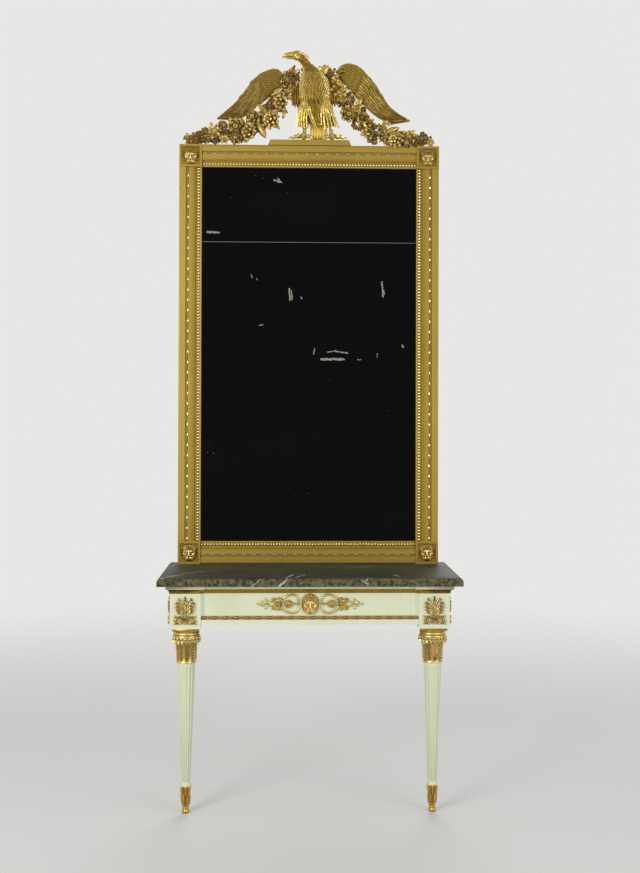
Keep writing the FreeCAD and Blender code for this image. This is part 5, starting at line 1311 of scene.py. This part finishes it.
def old_iron():
    """Forged iron, dark with patches of rust."""
    finish, tree, shader = new_finish("old_iron", Metallic=0.8)
    rust = put_effect(tree, patches, Scale=60.0, Share=0.45, Edge=0.2)
    wire(shader, Base_Color=mixed(tree, rust, IRON_DARK, IRON_RUST),
         Roughness=ranged(tree, rust, 0.0, 1.0, 0.45, 0.85),
         Normal=put_effect(tree, tooled, Scale=400.0, Strength=0.4))
    return finish


back_board = bare_wood("back_board", 1.0, 0.10, (0.330, 0.215, 0.115, 1), (0.190, 0.105, 0.050, 1))
for node, finish in (("backboard", back_board), ("back_battens", pine_level), ("hanging_plates", old_iron())):
    refinish(node, finish)


# ---------------------------------------------------------------- the eagle
# Carved limewood, gilded: the round head turned to its right with a blunt drooping beak, close
# low feathers on the neck and breast, and thighs of long strands that fall past the tail.

# sections of the neck and body from the head down, in millimetres: up, across, half width
EAGLE_SECTIONS = ((2808, -42, 8), (2803, -42, 16), (2794, -37, 20), (2785, -29, 19), (2776, -19, 18),
                  (2763, -6, 21), (2745, 8, 30), (2726, 14, 43), (2708, 17, 52), (2690, 18, 57), (2666, 19, 60),
                  (2640, 20, 61), (2612, 21, 54), (2588, 23, 44), (2560, 26, 31), (2536, 30, 20))
# rows of feathers from the bottom up: lowest and highest root, spacing, number round the body,
# length and width, in millimetres
FEATHER_ROWS = ((2562, 2642, 10.0, 40, 21.0, 7.0), (2651, 2742, 11.0, 34, 24.0, 8.6),
                (2748, 2788, 8.0, 24, 14.0, 5.6))
# strands over the thighs: root, middle and tip across and up, with the half width, in millimetres
THIGH_STRANDS = (((-32, 2606), (-42, 2562), (-38, 2526), 5.4), ((-25, 2602), (-33, 2560), (-30, 2518), 5.4),
                 ((-17, 2600), (-23, 2560), (-21, 2523), 5.4), ((-10, 2600), (-13, 2560), (-10, 2517), 5.2),
                 ((-6, 2602), (0, 2566), (18, 2530), 4.8), ((-2, 2604), (11, 2560), (31, 2515), 4.8),
                 ((47, 2612), (44, 2574), (46, 2536), 4.8), ((52, 2610), (54, 2570), (58, 2519), 5.4),
                 ((58, 2610), (64, 2572), (73, 2523), 5.4), ((65, 2612), (74, 2574), (88, 2520), 5.2),
                 ((71, 2616), (84, 2574), (102, 2526), 4.8), ((75, 2618), (92, 2570), (114, 2523), 4.0))
# the beak from the head's middle, across and up, and the half widths along its upper half
UPPER_BEAK = ((-0.008, 0.003), (-0.026, 0.0035), (-0.040, 0.0020), (-0.0510, -0.0020), (-0.0555, -0.0080))
LOWER_BEAK = ((-0.010, -0.0100), (-0.030, -0.0090), (-0.0460, -0.0085))
BEAK_HALF = (0.0130, 0.0128, 0.0124, 0.0118, 0.0110, 0.0104, 0.0100, 0.0096, 0.0092, 0.0088, 0.0084, 0.0078,
             0.0070, 0.0060, 0.0050, 0.0038, 0.0016)
# thighs: root and foot, across, back and up, and half width
THIGHS = (((-0.018, 0.162, 2.612), (-0.022, 0.174, 2.530), 0.022),
          ((0.060, 0.162, 2.620), (0.080, 0.174, 2.530), 0.022))
# how far back the thigh strands lie at their root, middle and tip
STRAND_BACK = (0.1500, 0.1520, 0.1600)
# the folded feathers under each wing: side, middle across, highest root and tip
FOLDED = ((-1, -0.0500, 2.706, 2.596), (1, 0.0900, 2.706, 2.602))
EAGLE_MIDDLE = 0.181
EAGLE_DEEPEST = 0.038
EAGLE_FLATNESS = 0.62
CREST_STRETCH = 1.018


def eagle_at(height):
    """The middle and half width of the body at a height, both in metres."""
    for above, below in zip(EAGLE_SECTIONS, EAGLE_SECTIONS[1:]):
        if height * 1000 >= below[0]:
            share = min(max((above[0] - height * 1000) / (above[0] - below[0]), 0), 1)
            return [(first + (second - first) * share) / 1000 for first, second in zip(above[1:], below[1:])]
    return [size / 1000 for size in EAGLE_SECTIONS[-1][1:]]


def on_eagle(height, turn, lift=0.0):
    """A point on the body at a height and a turn from the front, and the way outwards there."""
    across, half = eagle_at(height)
    deep = min(EAGLE_DEEPEST, half * EAGLE_FLATNESS + 0.004)
    out = Vector((math.sin(turn) / half, -math.cos(turn) / deep, 0)).normalized()
    spot = Vector((across + half * math.sin(turn), EAGLE_MIDDLE - deep * math.cos(turn), height))
    return spot + out * lift, out


def stretched(bm):
    """The crest drawn up a little from the plinth."""
    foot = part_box("crest_plinth")[1].z
    grow = Matrix.Translation((0, 0, foot)) @ Matrix.Diagonal((1, 1, CREST_STRETCH, 1))
    bmesh.ops.transform(bm, matrix=grow @ Matrix.Translation((0, 0, -foot)), verts=bm.verts)
    return bm


def add_feather_row(bm, height, count, long, wide, start=0.0):
    """A row of low feathers that hang from one height of the body and lie over the row below."""
    for number in range(count):
        turn = 2 * math.pi * (number + start + chance.uniform(-0.15, 0.15)) / count
        spot, out = on_eagle(height, turn, -0.0012)
        below = on_eagle(height - long * 0.8, turn, 0.0)[0]
        along = (below - spot).normalized() + out * 0.045
        size = chance.uniform(0.85, 1.15)
        add_leaf(bm, facing(spot, along, out), long * size, wide * size, 0.0034, -0.02, -0.08, 0.7, 0.35, 6, 6)


def eagle_head(bm):
    """The round head with its beak, brows, cheeks and the pointed feathers of the nape."""
    head = Vector((-0.0480, EAGLE_MIDDLE, 2.8020))
    add_ball(bm, head, 0.043, 0.038, 0.040, 16, 12)
    # the beak: an upper half that droops to a rounded tip, and a shorter lower half
    line = smooth_line([head + Vector((across, 0, up)) for across, up in UPPER_BEAK], 4)
    draw_along(bm, line, BEAK_HALF, [size * 0.92 for size in BEAK_HALF], sides=12)
    add_stem(bm, [head + Vector((across, 0, up)) for across, up in LOWER_BEAK], 0.0046, 0.0068, tip=0.55)
    for side in (-1, 1):
        eye = head + Vector((-0.0075, side * 0.0165, 0.0040))
        add_ball(bm, eye, 0.0070, 0.0050, 0.0070, 10, 8)
        add_ball(bm, head + Vector((0.0010, side * 0.0150, -0.0085)), 0.021, 0.012, 0.017, 10, 8)
        add_stem(bm, [eye + Vector((-0.0130, -side * 0.0040, 0.0022)), eye + Vector((-0.0020, side * 0.0008, 0.0072)),
                      eye + Vector((0.0110, -side * 0.0010, 0.0030))], 0.0022, 0.0030, tip=0.6)
    for row in range(5):
        for place in range(7):
            turn = math.radians(-105 + 35 * place)
            spot = head + Vector((0.004 + 0.0065 * row, -0.0175 * math.cos(turn),
                                  0.0165 * math.sin(turn) - 0.0035 * row))
            out = Vector((0.25, -math.cos(turn), math.sin(turn))).normalized()
            add_leaf(bm, facing(spot - out * 0.002, Vector((0.8, 0, -0.5)) + out * 0.10, out),
                     0.0175, 0.0068, 0.0040, 0.04, 0, 0.7, 0.55, 6, 5)


def eagle_body():
    """Head, neck, body and thighs."""
    bm = bmesh.new()
    places = []
    for height, across, half in EAGLE_SECTIONS:
        deep = min(EAGLE_DEEPEST, half / 1000 * EAGLE_FLATNESS + 0.004)
        spot = Vector((across / 1000, EAGLE_MIDDLE, height / 1000))
        places.append(Matrix.Translation(spot) @ Matrix.Diagonal((half / 1000, deep, 1, 1)))
    add_drawn(bm, places, 24)
    eagle_head(bm)
    for low, high, step, count, long, wide in FEATHER_ROWS:
        for number in range(int((high - low) / step) + 1):
            add_feather_row(bm, (low + number * step) / 1000, count, long / 1000, wide / 1000, 0.5 * (number % 2))
    # the thighs, with feathers over their fronts and sides
    for root, foot, half in THIGHS:
        root, foot = Vector(root), Vector(foot)
        add_stem(bm, [root + Vector((0, 0.004, 0.014)), root, (root + foot) / 2, foot], half, half * 0.75,
                 FRONT, 0.55, 4, 12)
        for row in range(4):
            spot = root.lerp(foot, 0.48 - row * 0.15)
            for number in range(7):
                out = Vector((math.cos(math.radians(30 * number)), math.sin(math.radians(30 * number)), 0))
                seat = spot + Vector((out.x * half * 0.8, out.y * half * 0.7, 0))
                add_leaf(bm, facing(seat, (out.x * 0.2, 0, -1), out), 0.044, 0.0100, 0.0056,
                         0.04, -0.1, 0.8, 0.5, 6, 6)
    for *spots, half in THIGH_STRANDS:
        corners = [Vector((x / 1000, back, z / 1000)) for (x, z), back in zip(spots, STRAND_BACK)]
        corners.insert(0, corners[0] + Vector((0, 0.012, 0.008)))
        add_stem(bm, corners, half / 1000, half / 1000, FRONT, 0.45, 5, 7)
    for side, middle, top, foot in FOLDED:
        for row in range(2):
            for place in range(4):
                spot = Vector((middle + (place - 1.5) * 0.0098 * side, 0.176 - 0.004 * row, top - 0.036 * row))
                drop = spot.z - foot - 0.005 * ((place + row) % 2) - 0.006 * abs(place - 1.5)
                add_leaf(bm, facing(spot, (0.02 * side, 0, -1), FRONT), drop, 0.0125, 0.0100, 0, 0, 0.6, 0.0, 8, 8)
    return bm


chance = random.Random(4)
eagle_gold = gilded("eagle_gold", gold=(0.44, 0.295, 0.045), worn=(0.34, 0.220, 0.030),
                    pale=(0.78, 0.60, 0.20), hollow=(0.120, 0.070, 0.016), patch=18.0, dirt_and_shade=0.70,
                    gloss=(0.30, 0.46), metal=0.95)
set_piece("eagle", stretched(eagle_body()), eagle_gold, "mirror", ("eagle_body",), reach=0.012)


# ---------------------------------------------------------------- eagle's legs and tail
# Scaly shanks, each with three clawed toes in front and one behind that grip the plinth, and a
# straight tail of six feathers that reaches down behind them.

# toes of the right foot: which way each points, in degrees from the front, and its length
TOES = ((84, 0.050), (52, 0.046), (10, 0.032), (-58, 0.026), (168, 0.024))
# a toe from root to claw: share of its length, height, half width and half depth
TOE_SHAPE = ((0.0, 0.011, 0.0088, 0.0080), (0.22, 0.0150, 0.0100, 0.0088), (0.42, 0.0095, 0.0074, 0.0068),
             (0.66, 0.0130, 0.0096, 0.0084), (0.85, 0.0080, 0.0074, 0.0064), (1.0, 0.0065, 0.0052, 0.0048))
# each shank: across at its head, and how far its foot stands aside
SHANKS = ((-0.0190, -0.002), (0.0810, 0.004))
SHANK_BACK = 0.172
SHANK_HEAD = 2.534
TAIL_LONGER = 0.02


def add_toe(bm, start, way, long):
    """A toe with two knuckles and a claw, lying on the plinth."""
    along = Vector((math.sin(way), -math.cos(way) * 0.7, 0))
    shares, heights, widths, depths = zip(*TOE_SHAPE)
    points = [start + along * (long * share) + Vector((0, 0, up)) for share, up in zip(shares, heights)]
    draw_along(bm, points, widths, depths, (0, 0, 1))
    tip = points[-1]
    claw = [tip, tip + along * 0.006 + Vector((0, 0, 0.0012)), tip + along * 0.012 - Vector((0, 0, 0.0045))]
    draw_along(bm, claw, [0.0036, 0.0028, 0.0008], [0.0036, 0.0028, 0.0008], (0, 0, 1), 6)


bm = bmesh.new()
plinth_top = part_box("crest_plinth")[1].z
for (across, lean), side in zip(SHANKS, (-1, 1)):
    top = Vector((across, SHANK_BACK, SHANK_HEAD))
    foot = Vector((across + lean, SHANK_BACK, plinth_top + 0.009))
    add_stem(bm, [top, top.lerp(foot, 0.5), foot], 0.0082, 0.0080, FRONT, 0.85, 4, 10)
    for number in range(6):
        add_ball(bm, top.lerp(foot, number / 6) - Vector((0, 0.0052, 0)), 0.0130, 0.0075, 0.0075, 8, 5)
    add_ball(bm, foot - Vector((0, 0, 0.0015)), 0.022, 0.022, 0.0145, 10, 7)
    for way, long in TOES:
        add_toe(bm, Vector((foot.x, foot.y - 0.002, plinth_top)), math.radians(side * way), long)
set_piece("eagle_feet", stretched(bm), eagle_gold, "mirror", ("eagle_legs",), reach=0.008)

bm = bmesh.new()
low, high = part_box("eagle_tail")
middle = (low + high) / 2
core = Matrix.Translation((middle.x, middle.y + 0.003, middle.z + TAIL_LONGER / 2))
bmesh.ops.create_cube(bm, size=1, matrix=core @ Matrix.Diagonal((0.044, 0.010, high.z - low.z + TAIL_LONGER, 1)))
for number in range(6):
    spot = Vector((middle.x + (number - 2.5) * 0.0095, middle.y - 0.010 + 0.002 * (number % 2), high.z + 0.015))
    add_leaf(bm, facing(spot, ((number - 2.5) * 0.014, 0, -1), FRONT), spot.z - low.z - 0.002 * (number % 2),
             0.0160, 0.0130, 0, 0, 0.3, -0.1, 8, 9)
# a paler gold, barely darkened in its hollows: painted light on the tail, which lies in shade between the legs
tail_gold_painted_light = gilded("tail_gold_painted_light", gold=(0.66, 0.50, 0.130), worn=(0.56, 0.41, 0.090),
                   pale=(0.90, 0.76, 0.34), patch=18.0, dirt_and_shade=0.12, gloss=(0.36, 0.50), metal=0.7)
set_piece("eagle_tail_feathers", stretched(bm), tail_gold_painted_light, "mirror", ("eagle_tail",), reach=0.005)


# ---------------------------------------------------------------- the wings
# Each wing is carved from one board: a rounded front edge, small scale feathers on the
# shoulder, a middle rank of longer ones and nine long feathers that sweep out to the tip.

# front and back edge of each wing from root to tip, in millimetres: across, up
LEFT_WING = (((-104, 2716), (-109, 2736), (-121, 2749), (-140, 2753), (-163, 2747), (-190, 2736), (-220, 2709),
              (-240, 2682), (-263, 2651), (-286, 2624), (-324, 2590), (-357, 2563)),
             ((-104, 2710), (-104, 2696), (-112, 2686), (-122, 2676), (-138, 2664), (-156, 2648), (-178, 2630),
              (-204, 2610), (-232, 2588), (-258, 2568), (-300, 2558), (-357, 2562)))
RIGHT_WING = (((108, 2742), (116, 2762), (137, 2774), (158, 2776), (180, 2770), (199, 2759), (232, 2724),
               (256, 2697), (278, 2659), (310, 2613), (346, 2586), (389, 2562)),
              ((109, 2732), (112, 2724), (120, 2712), (134, 2700), (150, 2684), (166, 2664), (186, 2643),
               (214, 2616), (242, 2590), (274, 2568), (320, 2549), (388, 2560)))
WING_RANKS = 9
WING_STEPS = 36
WING_SINK = 0.004
WING_SWELL = 0.004
FEATHER_STEPS = 10
# the long feathers: first and last share of the wing's length, and how far they stand out
LONG_FEATHERS = ((0.40, 0.995, 0.0020), (0.26, 0.66, 0.0042))
COVERT_TIPS = (0.50, 0.68)
SCALE_ROWS = 15
SCALE_OUT = 0.0066
SCALE_PITCH = 0.0092


def along_edge(edge, share):
    """A point part of the way along one edge of a wing, in metres."""
    reach = share * (len(edge) - 1)
    number = min(int(reach), len(edge) - 2)
    first, second = Vector(edge[number]), Vector(edge[number + 1])
    spot = first.lerp(second, reach - number) / 1000
    return Vector((spot.x, 0, spot.y))


def make_wing(word, front, back):
    """One wing over its board, between its front and back edges."""
    low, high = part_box(f"eagle_wing_{word}")
    face = low.y + WING_SINK
    thick = (high.y - face) / 2
    bm = bmesh.new()

    def on_wing(along, across, out=0.0):
        swell = WING_SWELL * math.sin(math.pi * min(across + 0.15, 1)) * (1 - along * 0.6)
        return along_edge(front, along).lerp(along_edge(back, along), across) + Vector((0, face - out - swell, 0))

    def width_at(along):
        return (along_edge(front, along) - along_edge(back, along)).length

    rows = []
    for number in range(WING_STEPS + 1):
        start, end = on_wing(number / WING_STEPS, 0), on_wing(number / WING_STEPS, 1)
        middle = (start + end) / 2
        half = max((end - start).length / 2, 0.0012)
        side = (end - start).normalized()
        turn = Matrix((side * half, Vector((0, thick, 0)), side.cross(Vector((0, 1, 0))))).transposed().to_4x4()
        rows.append(Matrix.Translation((middle.x, face + thick, middle.z)) @ turn)
    add_drawn(bm, rows, 16)
    shares = [number / WING_STEPS for number in range(WING_STEPS)]
    rim = [on_wing(share + 1 / WING_STEPS, 0.02, 0.001) for share in shares]
    draw_along(bm, rim, [0.0046 - 0.0030 * share for share in shares], [0.0056 - 0.0036 * share for share in shares])
    for start, end, out in LONG_FEATHERS:
        for rank in range(WING_RANKS):
            across = (rank + 0.6) / WING_RANKS
            stop = end - 0.20 * across * (end - start)
            shares = [start + (stop - start) * step / FEATHER_STEPS for step in range(FEATHER_STEPS + 1)]
            points = [on_wing(share, across, out) for share in shares]
            widths = [max(width_at(share) / WING_RANKS * 0.60, 0.0012) for share in shares]
            widths[0] *= 0.5
            widths[-1] *= 0.35
            draw_along(bm, points, widths, 0.0030)
            draw_along(bm, [point - Vector((0, 0.0026, 0)) for point in points], 0.0009, 0.0010, sides=4)
    # the tips of the coverts that step out over the front edge
    for along in COVERT_TIPS:
        spot, ahead = on_wing(along, 0.10, 0.003), on_wing(along + 0.05, 0.05, 0.003)
        add_leaf(bm, facing(spot, ahead - spot, FRONT), 0.036, 0.0130, 0.0070, 0.0, 0.0, 0.5, -0.2, 8, 7)
    for row in range(SCALE_ROWS, 0, -1):
        along = 0.03 + 0.028 * row
        count = max(int(width_at(along) / SCALE_PITCH), 2)
        for number in range(count):
            across = (number + 0.5 + 0.5 * (row % 2)) / (count + 0.5)
            spot, ahead = on_wing(along, across, SCALE_OUT), on_wing(along + 0.03, across, SCALE_OUT)
            add_leaf(bm, facing(spot, ahead - spot + Vector((0, -0.0008, 0)), FRONT),
                     chance.uniform(0.0160, 0.0195), 0.0108, 0.0036, 0.0, -0.08, 0.5, 0.25, 6, 5)
    set_piece(f"carved_wing_{word}", stretched(bm), wing_gold, "mirror", (f"eagle_wing_{word}",),
              reach=0.006)


wing_gold = gilded("wing_gold", gold=(0.31, 0.205, 0.034), worn=(0.225, 0.145, 0.023), pale=(0.48, 0.35, 0.09),
                   hollow=(0.120, 0.064, 0.016), patch=16.0, dirt_and_shade=0.8, gloss=(0.28, 0.44))
make_wing("left", *LEFT_WING)
make_wing("right", *RIGHT_WING)


# ---------------------------------------------------------------- the garlands
# Two festoons of carved flowers, buds and leaves on an iron wire, gilded, that fall from the
# eagle's back to the ends of the frame.

# flowers of the two garlands: kind, across and up from the top of the frame, radius, and for a
# leaf or tulip the way it points, in millimetres and degrees
LEFT_FLOWERS = (
    ("bud", -466, 14, 8), ("bud", -453, 28, 9), ("bud", -430, 39, 13), ("bud", -434, 14, 11),
    ("bud", -409, 20, 12), ("bud", -401, 53, 14), ("leaf", -377, 70, 14, 100), ("leaf", -363, 67, 12, 60),
    ("rose", -337, 71, 19), ("star", -368, 39, 22), ("bud", -388, 16, 10), ("bud", -365, 13, 12),
    ("bud", -319, 47, 12), ("star", -325, 19, 18), ("rose", -283, 72, 27), ("rose", -282, 24, 22),
    ("daisy", -234, 47, 32), ("rose", -216, 104, 25), ("marigold", -148, 97, 35),
    ("tulip", -185, 57, 25, -62), ("leaf", -188, 145, 19, 160), ("bud", -170, 151, 12),
    ("bud", -151, 139, 15), ("star", -180, 127, 17), ("bud", -142, 181, 12), ("star", -152, 170, 14),
    ("daisy", -112, 163, 31), ("leaf", -99, 123, 18, -100), ("tulip", -122, 208, 20, 35),
    ("star", -88, 200, 18), ("rose", -91, 242, 20), ("bud", -107, 247, 11), ("bud", -89, 272, 10),
    ("bud", -70, 278, 12), ("bud", -66, 253, 12), ("star", -75, 222, 15), ("leaf", -53, 283, 14, 40),
    ("bud", -49, 262, 12), ("leaf", -76, 181, 15, -40), ("leaf", -255, 87, 16, 120),
    ("leaf", -305, 96, 12, 100), ("leaf", -128, 74, 15, -45), ("leaf", -255, 16, 14, -20),
)
RIGHT_FLOWERS = (
    ("leaf", 47, 296, 14, 140), ("leaf", 62, 293, 17, 60), ("bud", 75, 273, 11), ("bud", 85, 282, 12),
    ("star", 99, 257, 17), ("bud", 82, 245, 10), ("tulip", 111, 243, 22, -42), ("star", 93, 218, 17),
    ("star", 110, 193, 19), ("star", 132, 184, 18), ("bud", 154, 201, 10), ("rose", 161, 176, 18),
    ("bud", 128, 160, 12), ("rose", 146, 120, 26), ("star", 184, 147, 21), ("leaf", 193, 169, 15, 60),
    ("bud", 208, 141, 14), ("rose", 204, 105, 24), ("bud", 166, 81, 9), ("bud", 178, 70, 10),
    ("star", 235, 88, 18), ("bud", 253, 74, 11), ("daisy", 278, 66, 19), ("leaf", 292, 93, 12, 30),
    ("leaf", 308, 86, 11, -10), ("tulip", 316, 60, 24, 22), ("star", 215, 50, 18), ("bud", 199, 64, 10),
    ("bud", 241, 47, 12), ("bud", 230, 22, 11), ("bud", 247, 15, 12), ("bud", 255, 33, 10),
    ("daisy", 281, 37, 23), ("marigold", 330, 24, 31), ("star", 370, 44, 18), ("leaf", 392, 54, 14, 25),
    ("rose", 382, 16, 22), ("bud", 409, 10, 13), ("bud", 423, 27, 14), ("bud", 438, 48, 12),
    ("bud", 451, 27, 13), ("leaf", 466, 20, 15, -25), ("bud", 432, 10, 10), ("leaf", 130, 217, 14, 20),
    ("leaf", 185, 85, 14, -60),
)
GARLAND_MIDDLE = 0.1860
WIRE_HALF = 0.0075
FILLERS = 5
GARLAND_ROUTES = (((-38, 288), (-84, 262), (-122, 200), (-160, 122), (-206, 76), (-256, 46), (-320, 40), (-384, 38),
                   (-440, 24), (-464, 10)),
                  ((48, 290), (96, 262), (124, 196), (150, 140), (196, 102), (240, 60), (286, 42), (340, 34),
                   (396, 26), (458, 18)))


def add_petal(bm, way, start, lean, out, long, wide, thick, curl, cup, rib, taper, sides, rings, front=None):
    """A petal at a turn round the flower's middle that leans forward as it leaves it."""
    along = Vector((math.cos(way), 0, math.sin(way)))
    front = along - Vector((0, 0.3, 0)) if front is None else front
    add_leaf(bm, facing(along * start + Vector((0, -out, 0)), along + Vector((0, -lean, 0)), front), long, wide,
             thick, curl, cup, rib, taper, sides, rings)


def flower(rings, heart, dots=0):
    """A flower that looks forward, one unit in radius: rings of petals round a heart.

    Each ring gives its petals, where they start, their length and width, how far out they
    stand, how they lean forward and how they cup."""
    bm = bmesh.new()
    add_ball(bm, (0, 0.22, 0), 1.1, 0.7, 1.1)
    for number, (count, start, long, wide, out, lean, cup) in enumerate(rings):
        for way in turns(count, 0.5 * number):
            add_petal(bm, way, start, lean, out, long, wide, 0.20, -0.10, cup, 0.4, -0.35, 8, 6, FRONT)
    size, out = heart
    add_ball(bm, (0, -out, 0), size, size * 0.8, size)
    for way in turns(dots):
        spot = (size * 0.42 * math.cos(way), -out - size * 0.28, size * 0.42 * math.sin(way))
        add_ball(bm, spot, size * 0.34, size * 0.34, size * 0.34, 6, 4)
    return unit_mesh(bm)


def rosebud():
    """A bud of overlapping petals that opens to the front, one unit in radius."""
    bm = bmesh.new()
    add_ball(bm, (0, 0.15, 0), 1.5, 1.4, 1.5)
    for count, start, long, wide, out, lean in ((5, 0.45, 0.95, 0.95, -0.10, 1.1), (3, 0.10, 0.75, 0.70, 0.35, 1.9)):
        for way in turns(count):
            add_petal(bm, way + out, start, lean, out, long, wide, 0.26, -0.22, -0.35, 0.4, 0.1, 6, 5)
    return unit_mesh(bm)


def tulip():
    """A long bud that points along its own length, with three petals closed round it."""
    bm = bmesh.new()
    add_leaf(bm, facing((-1.2, 0, 0), (1, 0, 0), FRONT), 2.5, 0.95, 0.85, 0, 0, 0, 0.35, 10, 9)
    for lift, side in ((0.40, 0.05), (0.15, 0.45), (0.15, -0.45)):
        add_leaf(bm, facing((-1.2, -0.05, 0), (1, -lift * 0.45, side * 0.35), (0, -1, side)), 2.2, 0.72, 0.24,
                 -0.14, 0.25, 0.5, 0.2, 8, 8)
    add_ball(bm, (-1.15, 0, 0), 0.7, 0.7, 0.7)
    return unit_mesh(bm)


def garland_leaf():
    """A leaf with a rib and two side lobes that points along its own length."""
    bm = bmesh.new()
    add_leaf(bm, facing((-1.1, 0, 0), (1, -0.15, 0), FRONT), 2.3, 1.05, 0.26, -0.06, 0.35, 0.9, 0.45, 8, 8)
    for side in (-1, 1):
        add_leaf(bm, facing((-0.9, 0, 0), (1, -0.1, side * 0.9), FRONT), 1.2, 0.55, 0.22, 0.1, 0.2, 0.6, 0.4, 6, 6)
    return unit_mesh(bm)


units = {
    "rose": flower(((6, 0.30, 0.80, 0.95, 0.10, 0.25, 0.55), (5, 0.15, 0.66, 0.85, 0.38, 0.75, 0.60),
                    (4, 0.05, 0.48, 0.62, 0.62, 1.4, 0.5)), (0.42, 0.72)),
    "daisy": flower(((8, 0.22, 0.84, 0.58, 0.12, 0.22, 0.60), (6, 0.18, 0.58, 0.50, 0.36, 0.70, 0.60)),
                    (0.42, 0.50), 5),
    "marigold": flower(((10, 0.30, 0.76, 0.46, 0.05, 0.10, 0.60), (9, 0.22, 0.64, 0.42, 0.28, 0.50, 0.60),
                        (6, 0.12, 0.50, 0.42, 0.54, 1.1, 0.5)), (0.36, 0.66), 5),
    "star": flower(((5, 0.12, 0.92, 0.62, 0.15, 0.30, 0.45),), (0.40, 0.30), 4),
    "bud": rosebud(),
    "tulip": tulip(),
    "leaf": garland_leaf(),
}


def make_garland(word, flowers, route):
    """One garland: its wire, then its flowers and the small leaves and buds that fill the gaps."""
    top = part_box("frame_rail_top")[1].z
    bm = bmesh.new()
    line = smooth_line([(across / 1000, GARLAND_MIDDLE, top + up / 1000) for across, up in route], 8)
    draw_along(bm, line, WIRE_HALF, WIRE_HALF)
    for kind, across, up, radius, *point in flowers:
        size = radius * 1.08 / 1000
        spot = Vector((across / 1000, GARLAND_MIDDLE - 0.35 * size - 0.002, top + up / 1000))
        turn = math.radians(point[0] if point else chance.uniform(0, 360))
        nod = Matrix.Rotation(math.radians(chance.uniform(-26, 20)), 4, "X") @ Matrix.Rotation(
            math.radians(chance.uniform(-26, 26)), 4, "Z")
        if point:
            nod = Matrix.Identity(4)
        repeat(bm, units[kind], Matrix.Translation(spot) @ nod @ Matrix.Rotation(-turn, 4, "Y")
               @ Matrix.Scale(size, 4))
    for number in range(2, len(line) - 1):
        for _ in range(FILLERS):
            kind = chance.choice(("leaf", "leaf", "star", "bud"))
            size = chance.uniform(0.007, 0.0105) * (0.8 if kind == "bud" else 1.15)
            off = Vector((chance.uniform(-0.027, 0.027), chance.uniform(0.0, 0.012), chance.uniform(-0.025, 0.025)))
            spot = line[number] + off
            spot.z = max(spot.z, top + size + 0.0015)
            repeat(bm, units[kind], Matrix.Translation(spot) @ Matrix.Rotation(chance.uniform(0, 6.28), 4, "Y")
                   @ Matrix.Scale(size, 4))
    set_piece(f"flower_garland_{word}", bm, flower_gold, "mirror", (f"garland_{word}",),
              reach=0.010)


flower_gold = gilded("flower_gold", gold=(0.42, 0.275, 0.062), worn=(0.28, 0.175, 0.038),
                     pale=(0.64, 0.48, 0.16), hollow=(0.085, 0.048, 0.014), patch=30.0, dirt_and_shade=1.0,
                     gloss=(0.34, 0.50), metal=0.9)
make_garland("left", LEFT_FLOWERS, GARLAND_ROUTES[0])
make_garland("right", RIGHT_FLOWERS, GARLAND_ROUTES[1])


# ---------------------------------------------------------------- closing
low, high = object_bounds()
